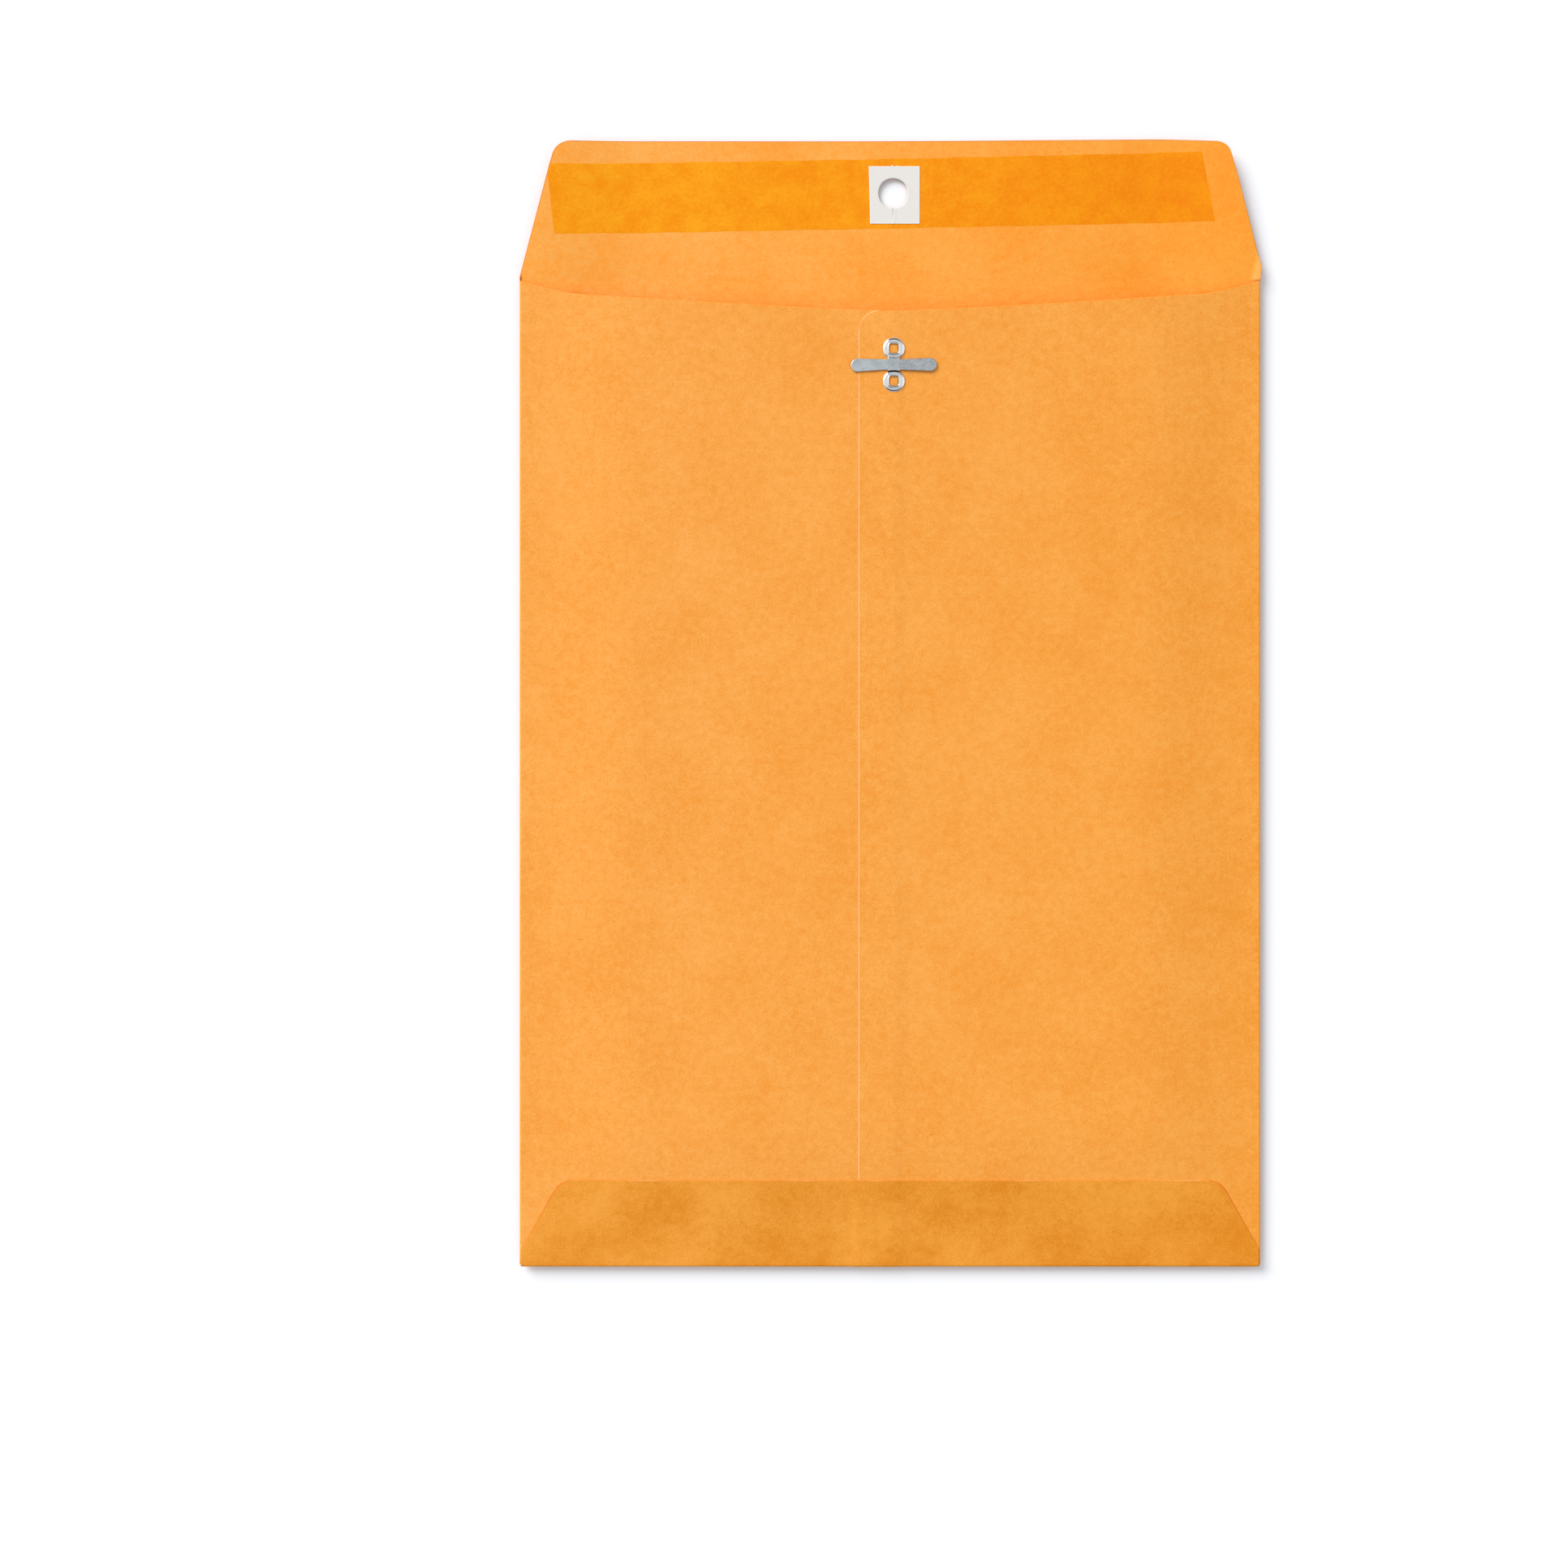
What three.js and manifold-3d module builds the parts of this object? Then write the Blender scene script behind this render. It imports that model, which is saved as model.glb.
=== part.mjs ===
// A clasp envelope for flat papers, lying on its address side with the seal flap open.
// Sizes are in millimetres. +Z is up from the table, +Y runs from the bottom fold to the flap.
// The origin is on the table, under the middle of the open envelope.
// The paper is one die-cut sheet: it is divided here at its scores, so that each panel is a piece.
import * as THREE from 'three';
import { mergeVertices } from 'three/addons/utils/BufferGeometryUtils.js';
import Module from 'manifold-3d';

const wasm = await Module();
wasm.setup();

// The closed envelope and its paper
const envelopeWidth = 228.6;
const envelopeLength = 304.8;
const paper = 0.15;
const glue = 0.05;
const foldRadius = 0.6; // of the side folds, to the middle of the paper
const foldLip = 0.5; // flat paper beside a fold, before the panel starts to rise

// The pocket, open between the front panel and the back panels
const pocketDepth = 5.1; // clear height in the middle
const sideCrown = 38; // distance from a side fold in which a panel reaches its full height
const footCrown = 45; // the same from the bottom fold

// The centre seam and the throat edge of the back panels
const seamX = -9.8; // edge of the right panel, which laps over the left one
const seamLap = 11.3;
const seamRamp = 3; // width in which the paper steps down past a hidden edge
const seamCorner = 6.5;
const seamGlueWidth = 7;
const seamGlueInset = 1;
const shoulderWidth = 16.5;
const cornerDrop = 0.5; // throat edge below the crease, at the side folds
const shoulderDrop = 4.8; // the same at the inner end of each shoulder
const throatDrop = 10.2; // the same in the middle
const throatBow = 1.2; // 1 is a straight slope, more bows the edge towards the flap

// The bottom flap, glued over the back panels
const bottomFlapHeight = 27;
const bottomFlapInset = 0.4; // its sides stay this far inside the side folds
const bottomFlapSide = 5.3; // upright part of each side
const bottomFlapSlant = THREE.MathUtils.degToRad(29.4);
const bottomFlapCorner = 7;
const bottomGlueInset = 6;

// The seal flap
const flapHeight = 43.2;
const flapBaseWidth = 230.2;
const flapSlant = THREE.MathUtils.degToRad(15.1);
const flapSpring = THREE.MathUtils.degToRad(3.4); // the open flap springs up at its crease
const flapLeftCorner = 6;
const flapRightCorner = 4.5;
const creaseGap = 0.3;

// The dried gum strip on the inside of the seal flap, laid on a little askew
const gumLength = 203;
const gumWidth = 22.2;
const gumTilt = THREE.MathUtils.degToRad(1.1);
const gumX = -2.8;
const gumAboveCrease = 26.7;
const gumEndSlant = 2;

// The patch round the hole in the seal flap
const holeDiameter = 9.1;
const patchWidth = 15.5;
const patchHeight = 17.6;
const patchThickness = 0.12;
const patchShiftX = 0.45; // middle of the patch from the middle of the hole
const patchShiftY = -0.55;

// The clasp, stamped from one strip of tin-plated steel
const claspX = 1.05;
const claspReach = 26.9; // from the crease to the clasp, and from the crease to the hole
const metal = 0.3;
const ringDiameter = 6.8;
const ringPitch = 10;
const ringCrown = 0.16; // rise of a ring's dished rim
const ringHole = 3.2;
const ringHoleCorner = 0.5;
const collarWidth = 0.35; // of the rim that the piercing punch raises round a hole
const collarHeight = 0.16;
const neckWidth = 3.6;
const bridgeLength = 3.2;
const bridgeRise = 0.3;
const neckRun = 1.1; // length in which a neck comes down from the bridge to its ring
const wingSpan = 26.4; // over both wings
const wingRootWidth = 3.15;
const wingTipWidth = 4;
const wingBevel = 0.05;
const bendGap = 0.12;

// The clasp's teeth, pierced through the paper and clinched inside the pocket
const toothWidth = 1.7;
const toothPointWidth = 0.5;
const toothClinch = 1.1;
const toothEmbed = 0.05;
const toothClearance = 0.05; // under the paper
const slitClearance = 0.12; // round each tooth

// How finely round shapes are cut
const crownSteps = 8;
const foldSteps = 8;
const throatSteps = 28;
const curveSegments = 8;
const ringSegments = 40;
const ringSteps = 5;
const neckSteps = 4;
const clipMargin = 5;

// Places worked out from the sizes above
const lapRise = paper + glue;
const widestFoldRadius = foldRadius + lapRise;
const bottomEdgeY = -(envelopeLength + flapHeight) / 2;
const bottomFoldY = bottomEdgeY + widestFoldRadius + paper / 2;
const creaseY = bottomEdgeY + envelopeLength;
const flapTopY = creaseY + flapHeight;
const foldX = envelopeWidth / 2 - foldRadius - paper / 2;
const underlapX = seamX + seamLap;
const fullRise = (pocketDepth + paper) / 2;
const foldZ = fullRise + paper / 2;
const claspY = creaseY - claspReach;
const claspZ = foldZ + fullRise + paper / 2 + lapRise;
const holeY = creaseY + claspReach;
const hingeOffset = neckWidth / 2 + bendGap + metal / 2;

// Joining and cutting

// A closed geometry as a solid. Its shared vertices are merged and its empty triangles left out.
function solid(geometry) {
  const bare = geometry.clone();
  bare.deleteAttribute('normal');
  bare.deleteAttribute('uv');
  const merged = mergeVertices(bare, 1e-5);
  const corners = merged.index.array;
  const kept = [];
  for (let first = 0; first < corners.length; first += 3) {
    const [a, b, c] = corners.slice(first, first + 3);
    if (a !== b && b !== c && c !== a) {
      kept.push(a, b, c);
    }
  }
  const vertProperties = Float32Array.from(merged.attributes.position.array);
  const triVerts = Uint32Array.from(kept);
  return new wasm.Manifold(new wasm.Mesh({ numProp: 3, vertProperties, triVerts }));
}

// The faceted geometry of a solid.
function geometryOf(shape) {
  const mesh = shape.getMesh();
  const geometry = new THREE.BufferGeometry();
  geometry.setAttribute('position', new THREE.BufferAttribute(mesh.vertProperties, 3));
  geometry.setIndex(new THREE.BufferAttribute(mesh.triVerts, 1));
  const faceted = geometry.toNonIndexed();
  faceted.computeVertexNormals();
  return faceted;
}

// An upright prism on an outline, from one height to another.
function prism(outline, bottom, top) {
  const settings = { depth: top - bottom, bevelEnabled: false, curveSegments };
  const geometry = new THREE.ExtrudeGeometry(outline, settings);
  geometry.translate(0, 0, bottom);
  return solid(geometry);
}

// An upright prism that passes through every layer of paper.
function cutter(outline) {
  return prism(outline, -clipMargin, foldZ * 2 + clipMargin);
}

// Outlines

// A closed outline through corners [x, y, radius], anticlockwise. A radius of 0 stays sharp.
function roundedOutline(corners) {
  const outline = new THREE.Shape();
  const places = corners.map(([x, y]) => new THREE.Vector2(x, y));
  corners.forEach(([x, y, radius], index) => {
    if (radius === 0) {
      outline[index === 0 ? 'moveTo' : 'lineTo'](x, y);
      return;
    }
    const before = places.at(index - 1).clone().sub(places[index]).normalize();
    const after = places[(index + 1) % places.length].clone().sub(places[index]).normalize();
    const halfAngle = Math.acos(THREE.MathUtils.clamp(before.dot(after), -1, 1)) / 2;
    const inward = before.clone().add(after).normalize();
    const centre = places[index].clone().addScaledVector(inward, radius / Math.sin(halfAngle));
    const middle = inward.negate().angle();
    const spread = Math.PI / 2 - halfAngle;
    outline.absarc(centre.x, centre.y, radius, middle - spread, middle + spread, false);
  });
  return outline;
}

function rectangle(left, bottom, right, top, radius = 0) {
  return roundedOutline([
    [left, bottom, radius],
    [right, bottom, radius],
    [right, top, radius],
    [left, top, radius],
  ]);
}

// Formed paper

// A closed sheet between an outer and an inner surface, each a function of a column and a row.
function sheetBetween(columns, rows, outer, inner) {
  const points = [];
  for (const surface of [outer, inner]) {
    for (let row = 0; row < rows; row += 1) {
      for (let column = 0; column < columns; column += 1) {
        points.push(...surface(column, row));
      }
    }
  }
  const faces = [];
  const out = (column, row) => row * columns + column;
  const inn = (column, row) => (rows + row) * columns + column;
  const quad = (a, b, c, d) => faces.push(a, b, c, a, c, d);
  for (let row = 0; row < rows - 1; row += 1) {
    for (let column = 0; column < columns - 1; column += 1) {
      const right = column + 1;
      const up = row + 1;
      quad(out(column, row), out(right, row), out(right, up), out(column, up));
      quad(inn(column, row), inn(column, up), inn(right, up), inn(right, row));
    }
  }
  const last = rows - 1;
  for (let column = 0; column < columns - 1; column += 1) {
    const right = column + 1;
    quad(inn(column, 0), inn(right, 0), out(right, 0), out(column, 0));
    quad(out(column, last), out(right, last), inn(right, last), inn(column, last));
  }
  const end = columns - 1;
  for (let row = 0; row < rows - 1; row += 1) {
    const up = row + 1;
    quad(inn(0, up), inn(0, row), out(0, row), out(0, up));
    quad(inn(end, row), inn(end, up), out(end, up), out(end, row));
  }
  const geometry = new THREE.BufferGeometry();
  geometry.setAttribute('position', new THREE.Float32BufferAttribute(points, 3));
  geometry.setIndex(faces);
  return solid(geometry);
}

// Share of the full height that a panel has at a distance from a fold: an S-curve, level at
// the fold and level again past the run.
function crown(distance, run) {
  const share = THREE.MathUtils.clamp((distance - foldLip) / (run - foldLip), 0, 1);
  return (1 - Math.cos(Math.PI * share)) / 2;
}

// Height of the back panels' middle surface over the fold line; the front panel lies as far below.
function rise(x, y) {
  const share = crown(foldX - Math.abs(x), sideCrown) * crown(y - bottomFoldY, footCrown);
  return foldRadius + (fullRise - foldRadius) * share;
}

// Lift of the paper that lies over the seam: up over the right panel's edge where it covers that,
// level over the lap, and down again past the left panel's hidden edge.
function lapLift(x, coversSeamEdge) {
  const climb = coversSeamEdge ? (x - seamX) / seamRamp + 1 : 1;
  const fall = 1 - (x - underlapX) / seamRamp;
  return lapRise * THREE.MathUtils.clamp(Math.min(climb, fall), 0, 1);
}

// Undersides of the layers, from the table up
const springLift = (y) => Math.max(0, y - creaseY) * Math.tan(flapSpring);
const frontUnder = (x, y) => foldZ - rise(x, y) - paper / 2 + springLift(y);
const gumUnder = (x, y) => frontUnder(x, y) + paper;
const patchUnder = (x, y) => gumUnder(x, y) + glue;
const leftUnder = (x, y) => foldZ + rise(x, y) - paper / 2;
const seamGlueUnder = (x, y) => leftUnder(x, y) + paper;
const rightUnder = (x, y) => leftUnder(x, y) + lapLift(x, false);
const bottomGlueUnder = (x, y) => leftUnder(x, y) + paper + lapLift(x, true);
const bottomFlapUnder = (x, y) => bottomGlueUnder(x, y) + glue;

// The lines at which the paper bends, the same for every layer, so that layers seat face to face.
function bendLines(places) {
  const sorted = [...places].sort((a, b) => a - b);
  return sorted.filter((place, index) => index === 0 || place - sorted[index - 1] > 1e-3);
}

function crownDistances(run) {
  return Array.from({ length: crownSteps + 1 }, (_, step) => (
    foldLip + (run - foldLip) * (step / crownSteps)
  ));
}

const columnX = bendLines([
  -envelopeWidth / 2 - clipMargin,
  ...crownDistances(sideCrown).flatMap((distance) => [distance - foldX, foldX - distance]),
  seamX - seamRamp,
  seamX,
  underlapX,
  underlapX + seamRamp,
  envelopeWidth / 2 + clipMargin,
]);
const rowY = bendLines([
  bottomEdgeY - clipMargin,
  ...crownDistances(footCrown).map((distance) => bottomFoldY + distance),
  creaseY,
  flapTopY + clipMargin,
]);

// A sheet of one thickness, cut to an outline, that lies on one of the undersides above.
function formedSheet(outline, thickness, under) {
  const surface = (lift) => (column, row) => {
    const x = columnX[column];
    const y = rowY[row];
    return [x, y, under(x, y) + lift];
  };
  const sheet = sheetBetween(columnX.length, rowY.length, surface(thickness), surface(0));
  return sheet.intersect(cutter(outline));
}

// Points of a half-round fold, from the lower panel round the outside to the upper one and a lip.
// Each is [distance inboard from the fold's centre line, height].
function foldSection(lowZ, highZ, offset) {
  const radius = (highZ - lowZ) / 2;
  const centreZ = (highZ + lowZ) / 2;
  const points = Array.from({ length: foldSteps + 1 }, (_, step) => {
    const angle = Math.PI * (step / foldSteps);
    const reach = radius + offset;
    return [-reach * Math.sin(angle), centreZ - reach * Math.cos(angle)];
  });
  points.push([foldLip, highZ + offset]);
  return points;
}

// The side fold of one back panel, running from the bottom fold to its throat corner.
function sideFold(side) {
  const low = foldZ - foldRadius;
  const high = foldZ + foldRadius;
  const ends = [bottomFoldY, creaseY - cornerDrop];
  const surface = (offset) => {
    const section = foldSection(low, high, offset);
    const ordered = side < 0 ? section : section.reverse();
    return (column, row) => {
      const [inboard, z] = ordered[column];
      return [side * (foldX - inboard), ends[row], z];
    };
  };
  return sheetBetween(foldSteps + 2, ends.length, surface(paper / 2), surface(-paper / 2));
}

// The bottom fold, which takes in the back panels and so swells a little at the seam.
function bottomFold() {
  const halfWidth = envelopeWidth / 2 - bottomFlapInset;
  const inside = columnX.filter((x) => Math.abs(x) < halfWidth);
  const across = [-halfWidth, ...inside, halfWidth];
  const surface = (offset) => {
    const sections = across.map((x) => {
      const low = frontUnder(x, bottomFoldY) + paper / 2;
      const high = bottomFlapUnder(x, bottomFoldY) + paper / 2;
      return foldSection(low, high, offset);
    });
    return (column, row) => {
      const [inboard, z] = sections[column][row];
      return [across[column], bottomFoldY + inboard, z];
    };
  };
  return sheetBetween(across.length, foldSteps + 2, surface(paper / 2), surface(-paper / 2));
}

// The panels of the blank

function frontPanel() {
  const outline = rectangle(-foldX, bottomFoldY, foldX, creaseY - creaseGap / 2);
  return formedSheet(outline, paper, frontUnder);
}

// Distance of the throat edge below the crease: a short slanted shoulder, then a shallow bow.
function throatDropAt(x) {
  const inboard = envelopeWidth / 2 - Math.abs(x);
  if (inboard < shoulderWidth) {
    return THREE.MathUtils.lerp(cornerDrop, shoulderDrop, inboard / shoulderWidth);
  }
  const across = Math.abs(x) / (envelopeWidth / 2 - shoulderWidth);
  return THREE.MathUtils.lerp(throatDrop, shoulderDrop, across ** throatBow);
}

// A back panel from its side fold to its seam edge, with a rounded corner at the throat.
function backPanelOutline(side, seamEdgeX) {
  const outline = new THREE.Shape();
  const cornerX = seamEdgeX + side * seamCorner;
  outline.moveTo(side * foldX, bottomFoldY);
  for (let step = 0; step <= throatSteps; step += 1) {
    const x = THREE.MathUtils.lerp(side * foldX, cornerX, step / throatSteps);
    outline.lineTo(x, creaseY - throatDropAt(x));
  }
  const cornerY = creaseY - throatDropAt(cornerX) - seamCorner;
  const edgeAngle = side > 0 ? Math.PI : 0;
  outline.absarc(cornerX, cornerY, seamCorner, Math.PI / 2, edgeAngle, side < 0);
  outline.lineTo(seamEdgeX, bottomFoldY);
  return outline;
}

function leftBackPanel() {
  const panel = formedSheet(backPanelOutline(-1, underlapX), paper, leftUnder);
  return panel.add(sideFold(-1)).subtract(toothSlits());
}

function rightBackPanel() {
  const panel = formedSheet(backPanelOutline(1, seamX), paper, rightUnder);
  return panel.add(sideFold(1)).subtract(toothSlits());
}

function seamGlue() {
  const left = seamX + seamGlueInset;
  const bottom = bottomFoldY + bottomGlueInset;
  const top = creaseY - throatDrop - seamCorner;
  const outline = rectangle(left, bottom, left + seamGlueWidth, top);
  return formedSheet(outline, glue, seamGlueUnder);
}

// Half width of the bottom flap at a height above the bottom edge, past its upright sides.
function bottomFlapHalfWidth(height) {
  const slanted = (height - bottomFlapSide) * Math.tan(bottomFlapSlant);
  return envelopeWidth / 2 - bottomFlapInset - slanted;
}

function bottomFlap() {
  const base = bottomFlapHalfWidth(bottomFlapSide);
  const top = bottomFlapHalfWidth(bottomFlapHeight);
  const outline = roundedOutline([
    [-base, bottomFoldY, 0],
    [base, bottomFoldY, 0],
    [base, bottomEdgeY + bottomFlapSide, 0],
    [top, bottomEdgeY + bottomFlapHeight, bottomFlapCorner],
    [-top, bottomEdgeY + bottomFlapHeight, bottomFlapCorner],
    [-base, bottomEdgeY + bottomFlapSide, 0],
  ]);
  return formedSheet(outline, paper, bottomFlapUnder).add(bottomFold());
}

function bottomGlue() {
  const halfWidth = bottomFlapHalfWidth(bottomFlapHeight) - bottomGlueInset;
  const bottom = bottomFoldY + bottomGlueInset;
  const top = bottomEdgeY + bottomFlapHeight - bottomGlueInset;
  return formedSheet(rectangle(-halfWidth, bottom, halfWidth, top), glue, bottomGlueUnder);
}

// The seal flap and what is stuck to it

function hole() {
  const outline = new THREE.Shape();
  outline.absarc(claspX, holeY, holeDiameter / 2, 0, 2 * Math.PI, false);
  return cutter(outline);
}

function sealFlap() {
  const baseY = creaseY + creaseGap / 2;
  const baseHalf = flapBaseWidth / 2;
  const topHalf = baseHalf - flapHeight * Math.tan(flapSlant);
  const outline = roundedOutline([
    [-baseHalf, baseY, 0],
    [baseHalf, baseY, 0],
    [topHalf, flapTopY, flapRightCorner],
    [-topHalf, flapTopY, flapLeftCorner],
  ]);
  return formedSheet(outline, paper, frontUnder).subtract(hole());
}

// A flat outline given about its own middle, turned and moved to its place on the flap.
function placed(corners, x, y, tilt) {
  const centre = new THREE.Vector2(0, 0);
  return roundedOutline(corners.map(([cornerX, cornerY, radius]) => {
    const corner = new THREE.Vector2(cornerX, cornerY).rotateAround(centre, tilt);
    return [x + corner.x, y + corner.y, radius];
  }));
}

function flapGum() {
  const halfLength = gumLength / 2;
  const halfWidth = gumWidth / 2;
  const corners = [
    [-halfLength, -halfWidth, 0],
    [halfLength + gumEndSlant, -halfWidth, 0],
    [halfLength - gumEndSlant, halfWidth, 0],
    [-halfLength, halfWidth, 0],
  ];
  const outline = placed(corners, gumX, creaseY + gumAboveCrease, gumTilt);
  return formedSheet(outline, glue, gumUnder).subtract(hole());
}

function flapPatch() {
  const x = claspX + patchShiftX;
  const y = holeY + patchShiftY;
  const halfWidth = patchWidth / 2;
  const halfHeight = patchHeight / 2;
  const outline = rectangle(x - halfWidth, y - halfHeight, x + halfWidth, y + halfHeight);
  return formedSheet(outline, patchThickness, patchUnder).subtract(hole());
}

// The clasp, made about its own middle with its underside at height 0

// A dished ring: a washer whose rim swells between its outer edge and its pierced hole, with a
// low collar round the hole.
function claspRing(y) {
  const innerRadius = ringHole / 2;
  const outerRadius = ringDiameter / 2;
  const arch = Array.from({ length: ringSteps + 1 }, (_, step) => {
    const share = step / ringSteps;
    const radius = THREE.MathUtils.lerp(innerRadius, outerRadius, share);
    return new THREE.Vector2(radius, ringCrown * Math.sin(Math.PI * share));
  });
  const upper = arch.map(({ x, y: height }) => new THREE.Vector2(x, height + metal)).reverse();
  const profile = [new THREE.Vector2(0, 0), ...arch, ...upper, new THREE.Vector2(0, metal)];
  const washer = new THREE.LatheGeometry(profile, ringSegments);
  washer.rotateX(Math.PI / 2);
  washer.translate(0, y, 0);
  const squareAt = (half, corner) => rectangle(-half, y - half, half, y + half, corner);
  const pierced = prism(squareAt(innerRadius, ringHoleCorner), -1, 1);
  const collarOutline = squareAt(innerRadius + collarWidth, ringHoleCorner + collarWidth);
  const collar = prism(collarOutline, metal / 2, metal + collarHeight);
  return solid(washer).add(collar).subtract(pierced);
}

// The bridge between the wings, and the two necks that come down from it to the rings.
function claspBridge() {
  const halfBridge = bridgeLength / 2;
  const ramp = Array.from({ length: neckSteps + 1 }, (_, step) => {
    const share = step / neckSteps;
    const height = bridgeRise * (1 + Math.cos(Math.PI * share)) / 2;
    return [halfBridge + neckRun * share, Math.max(height, ringCrown * share)];
  });
  const mirrored = ramp.map(([y, z]) => [-y, z]).reverse();
  const path = [...mirrored, ...ramp];
  const edges = [-neckWidth / 2, neckWidth / 2];
  const surface = (lift) => (column, row) => [edges[column], path[row][0], path[row][1] + lift];
  return sheetBetween(edges.length, path.length, surface(metal), surface(0));
}

// One tooth: a leg down from the hole's edge, and a pointed end bent outwards under the paper.
function clinchedTooth() {
  const innerY = ringHole / 2 - metal;
  const outerY = ringHole / 2 + toothEmbed;
  const clinchTop = -(2 * paper + glue + toothClearance);
  const half = toothWidth / 2;
  const point = toothPointWidth / 2;
  const leg = prism(rectangle(-half, innerY, half, outerY), clinchTop - metal, metal / 2);
  const clinch = roundedOutline([
    [-half, innerY, 0],
    [half, innerY, 0],
    [half, outerY, 0],
    [point, outerY + toothClinch, 0],
    [-point, outerY + toothClinch, 0],
    [-half, outerY, 0],
  ]);
  return leg.add(prism(clinch, clinchTop - metal, clinchTop));
}

// The same solid at the four sides of each ring's hole, turned with the sides.
function atHoleSides(shape) {
  const quarters = [0, 90, 180, 270].map((angle) => shape.rotate([0, 0, angle]));
  const four = quarters.reduce((joined, quarter) => joined.add(quarter));
  const upper = four.translate([0, ringPitch / 2, 0]);
  return four.translate([0, -ringPitch / 2, 0]).add(upper);
}

// The slits that the teeth pierce, as a cutter in the envelope's own place.
function toothSlits() {
  const half = toothWidth / 2 + slitClearance;
  const inner = ringHole / 2 - metal - slitClearance;
  const outer = ringHole / 2 + toothEmbed + slitClearance;
  const slit = prism(rectangle(-half, inner, half, outer), -1, 1);
  return atHoleSides(slit).translate([claspX, claspY, claspZ]);
}

function claspPlate() {
  const rings = claspRing(ringPitch / 2).add(claspRing(-ringPitch / 2));
  return rings.add(claspBridge()).add(atHoleSides(clinchedTooth()));
}

// A wing from its bend line outwards, with a round tip and a round root that turns on that line.
function claspWing() {
  const length = wingSpan / 2 - hingeOffset;
  const root = wingRootWidth / 2;
  const tip = wingTipWidth / 2;
  const outline = new THREE.Shape();
  outline.moveTo(0, -root);
  outline.absarc(length - tip, 0, tip, -Math.PI / 2, Math.PI / 2, false);
  outline.lineTo(0, root);
  const blade = new THREE.ExtrudeGeometry(outline, {
    depth: metal - 2 * wingBevel,
    bevelThickness: wingBevel,
    bevelSize: wingBevel,
    bevelOffset: -wingBevel,
    bevelSegments: 1,
    curveSegments: 2 * curveSegments,
  });
  blade.translate(0, 0, wingBevel - metal / 2);
  const roller = new THREE.CylinderGeometry(metal / 2, metal / 2, wingRootWidth, 2 * foldSteps);
  return solid(blade).add(solid(roller));
}

// Finishes
const kraft = { color: 0xf8a64e, roughness: 0.86, metalness: 0 };
const driedGum = { color: 0xfa9a1e, roughness: 0.5, metalness: 0 };
const driedGlue = { color: 0xd9b98a, roughness: 0.6, metalness: 0 };
const patchPaper = { color: 0xece8e2, roughness: 0.8, metalness: 0 };
const tinPlate = { color: 0xb7bdbf, roughness: 0.35, metalness: 0.9 };

const envelope = new THREE.Group();

function addPiece(name, shape, finish, parent = envelope) {
  const mesh = new THREE.Mesh(geometryOf(shape), new THREE.MeshStandardMaterial(finish));
  mesh.name = name;
  parent.add(mesh);
  return mesh;
}

addPiece('front_panel', frontPanel(), kraft);
addPiece('left_back_panel', leftBackPanel(), kraft);
addPiece('right_back_panel', rightBackPanel(), kraft);
addPiece('seam_glue', seamGlue(), driedGlue);
addPiece('bottom_flap', bottomFlap(), kraft);
addPiece('bottom_glue', bottomGlue(), driedGlue);
addPiece('seal_flap', sealFlap(), kraft);
addPiece('flap_gum', flapGum(), driedGum);
addPiece('flap_patch', flapPatch(), patchPaper);

const clasp = new THREE.Group();
clasp.position.set(claspX, claspY, claspZ);
envelope.add(clasp);
addPiece('clasp_plate', claspPlate(), tinPlate, clasp);

for (const [name, side] of [['clasp_left_wing', -1], ['clasp_right_wing', 1]]) {
  const wing = addPiece(name, claspWing(), tinPlate, clasp);
  wing.position.set(side * hingeOffset, 0, bridgeRise + metal / 2);
  wing.rotation.z = side < 0 ? Math.PI : 0;
}

export default envelope;
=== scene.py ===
"""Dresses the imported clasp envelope: kraft paper, dried gum, the patch round the hole, the clasp.

Shapes are worked out in millimetres in the part's own frame: +Z up from the table, +Y from the
bottom fold to the open seal flap. Each mesh is turned to metres as it is made.
"""

import math

import bpy
import numpy as np
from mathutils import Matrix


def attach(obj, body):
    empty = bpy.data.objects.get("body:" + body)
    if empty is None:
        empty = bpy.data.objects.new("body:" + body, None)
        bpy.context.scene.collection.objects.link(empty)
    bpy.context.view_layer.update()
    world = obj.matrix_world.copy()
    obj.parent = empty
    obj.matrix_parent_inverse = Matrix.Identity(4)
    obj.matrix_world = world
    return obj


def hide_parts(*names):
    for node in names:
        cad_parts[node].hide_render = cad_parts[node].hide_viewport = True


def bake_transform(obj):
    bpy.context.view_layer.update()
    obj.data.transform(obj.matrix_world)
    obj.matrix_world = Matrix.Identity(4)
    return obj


MM = 0.001

# The closed envelope and its paper, as in the part's source
WIDTH = 228.6
LENGTH = 304.8
PAPER = 0.15
GLUE = 0.05
FOLD_RADIUS = 0.6
FOLD_LIP = 0.5
POCKET_DEPTH = 5.1
SIDE_CROWN = 38
FOOT_CROWN = 45

# The centre seam and the throat edge
SEAM_X = -9.8
SEAM_LAP = 11.3
SEAM_RAMP = 3
SEAM_CORNER = 6.5
SEAM_GLUE_WIDTH = 7
SEAM_GLUE_INSET = 1
SHOULDER_WIDTH = 16.5
CORNER_DROP = 0.5
SHOULDER_DROP = 4.8
THROAT_DROP = 10.2
THROAT_BOW = 1.2

# The bottom flap
BOTTOM_FLAP_HEIGHT = 27
BOTTOM_FLAP_INSET = 0.4
BOTTOM_FLAP_SIDE = 5.3
BOTTOM_FLAP_SLANT = math.radians(29.4)
BOTTOM_FLAP_CORNER = 7
BOTTOM_GLUE_INSET = 6

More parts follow.
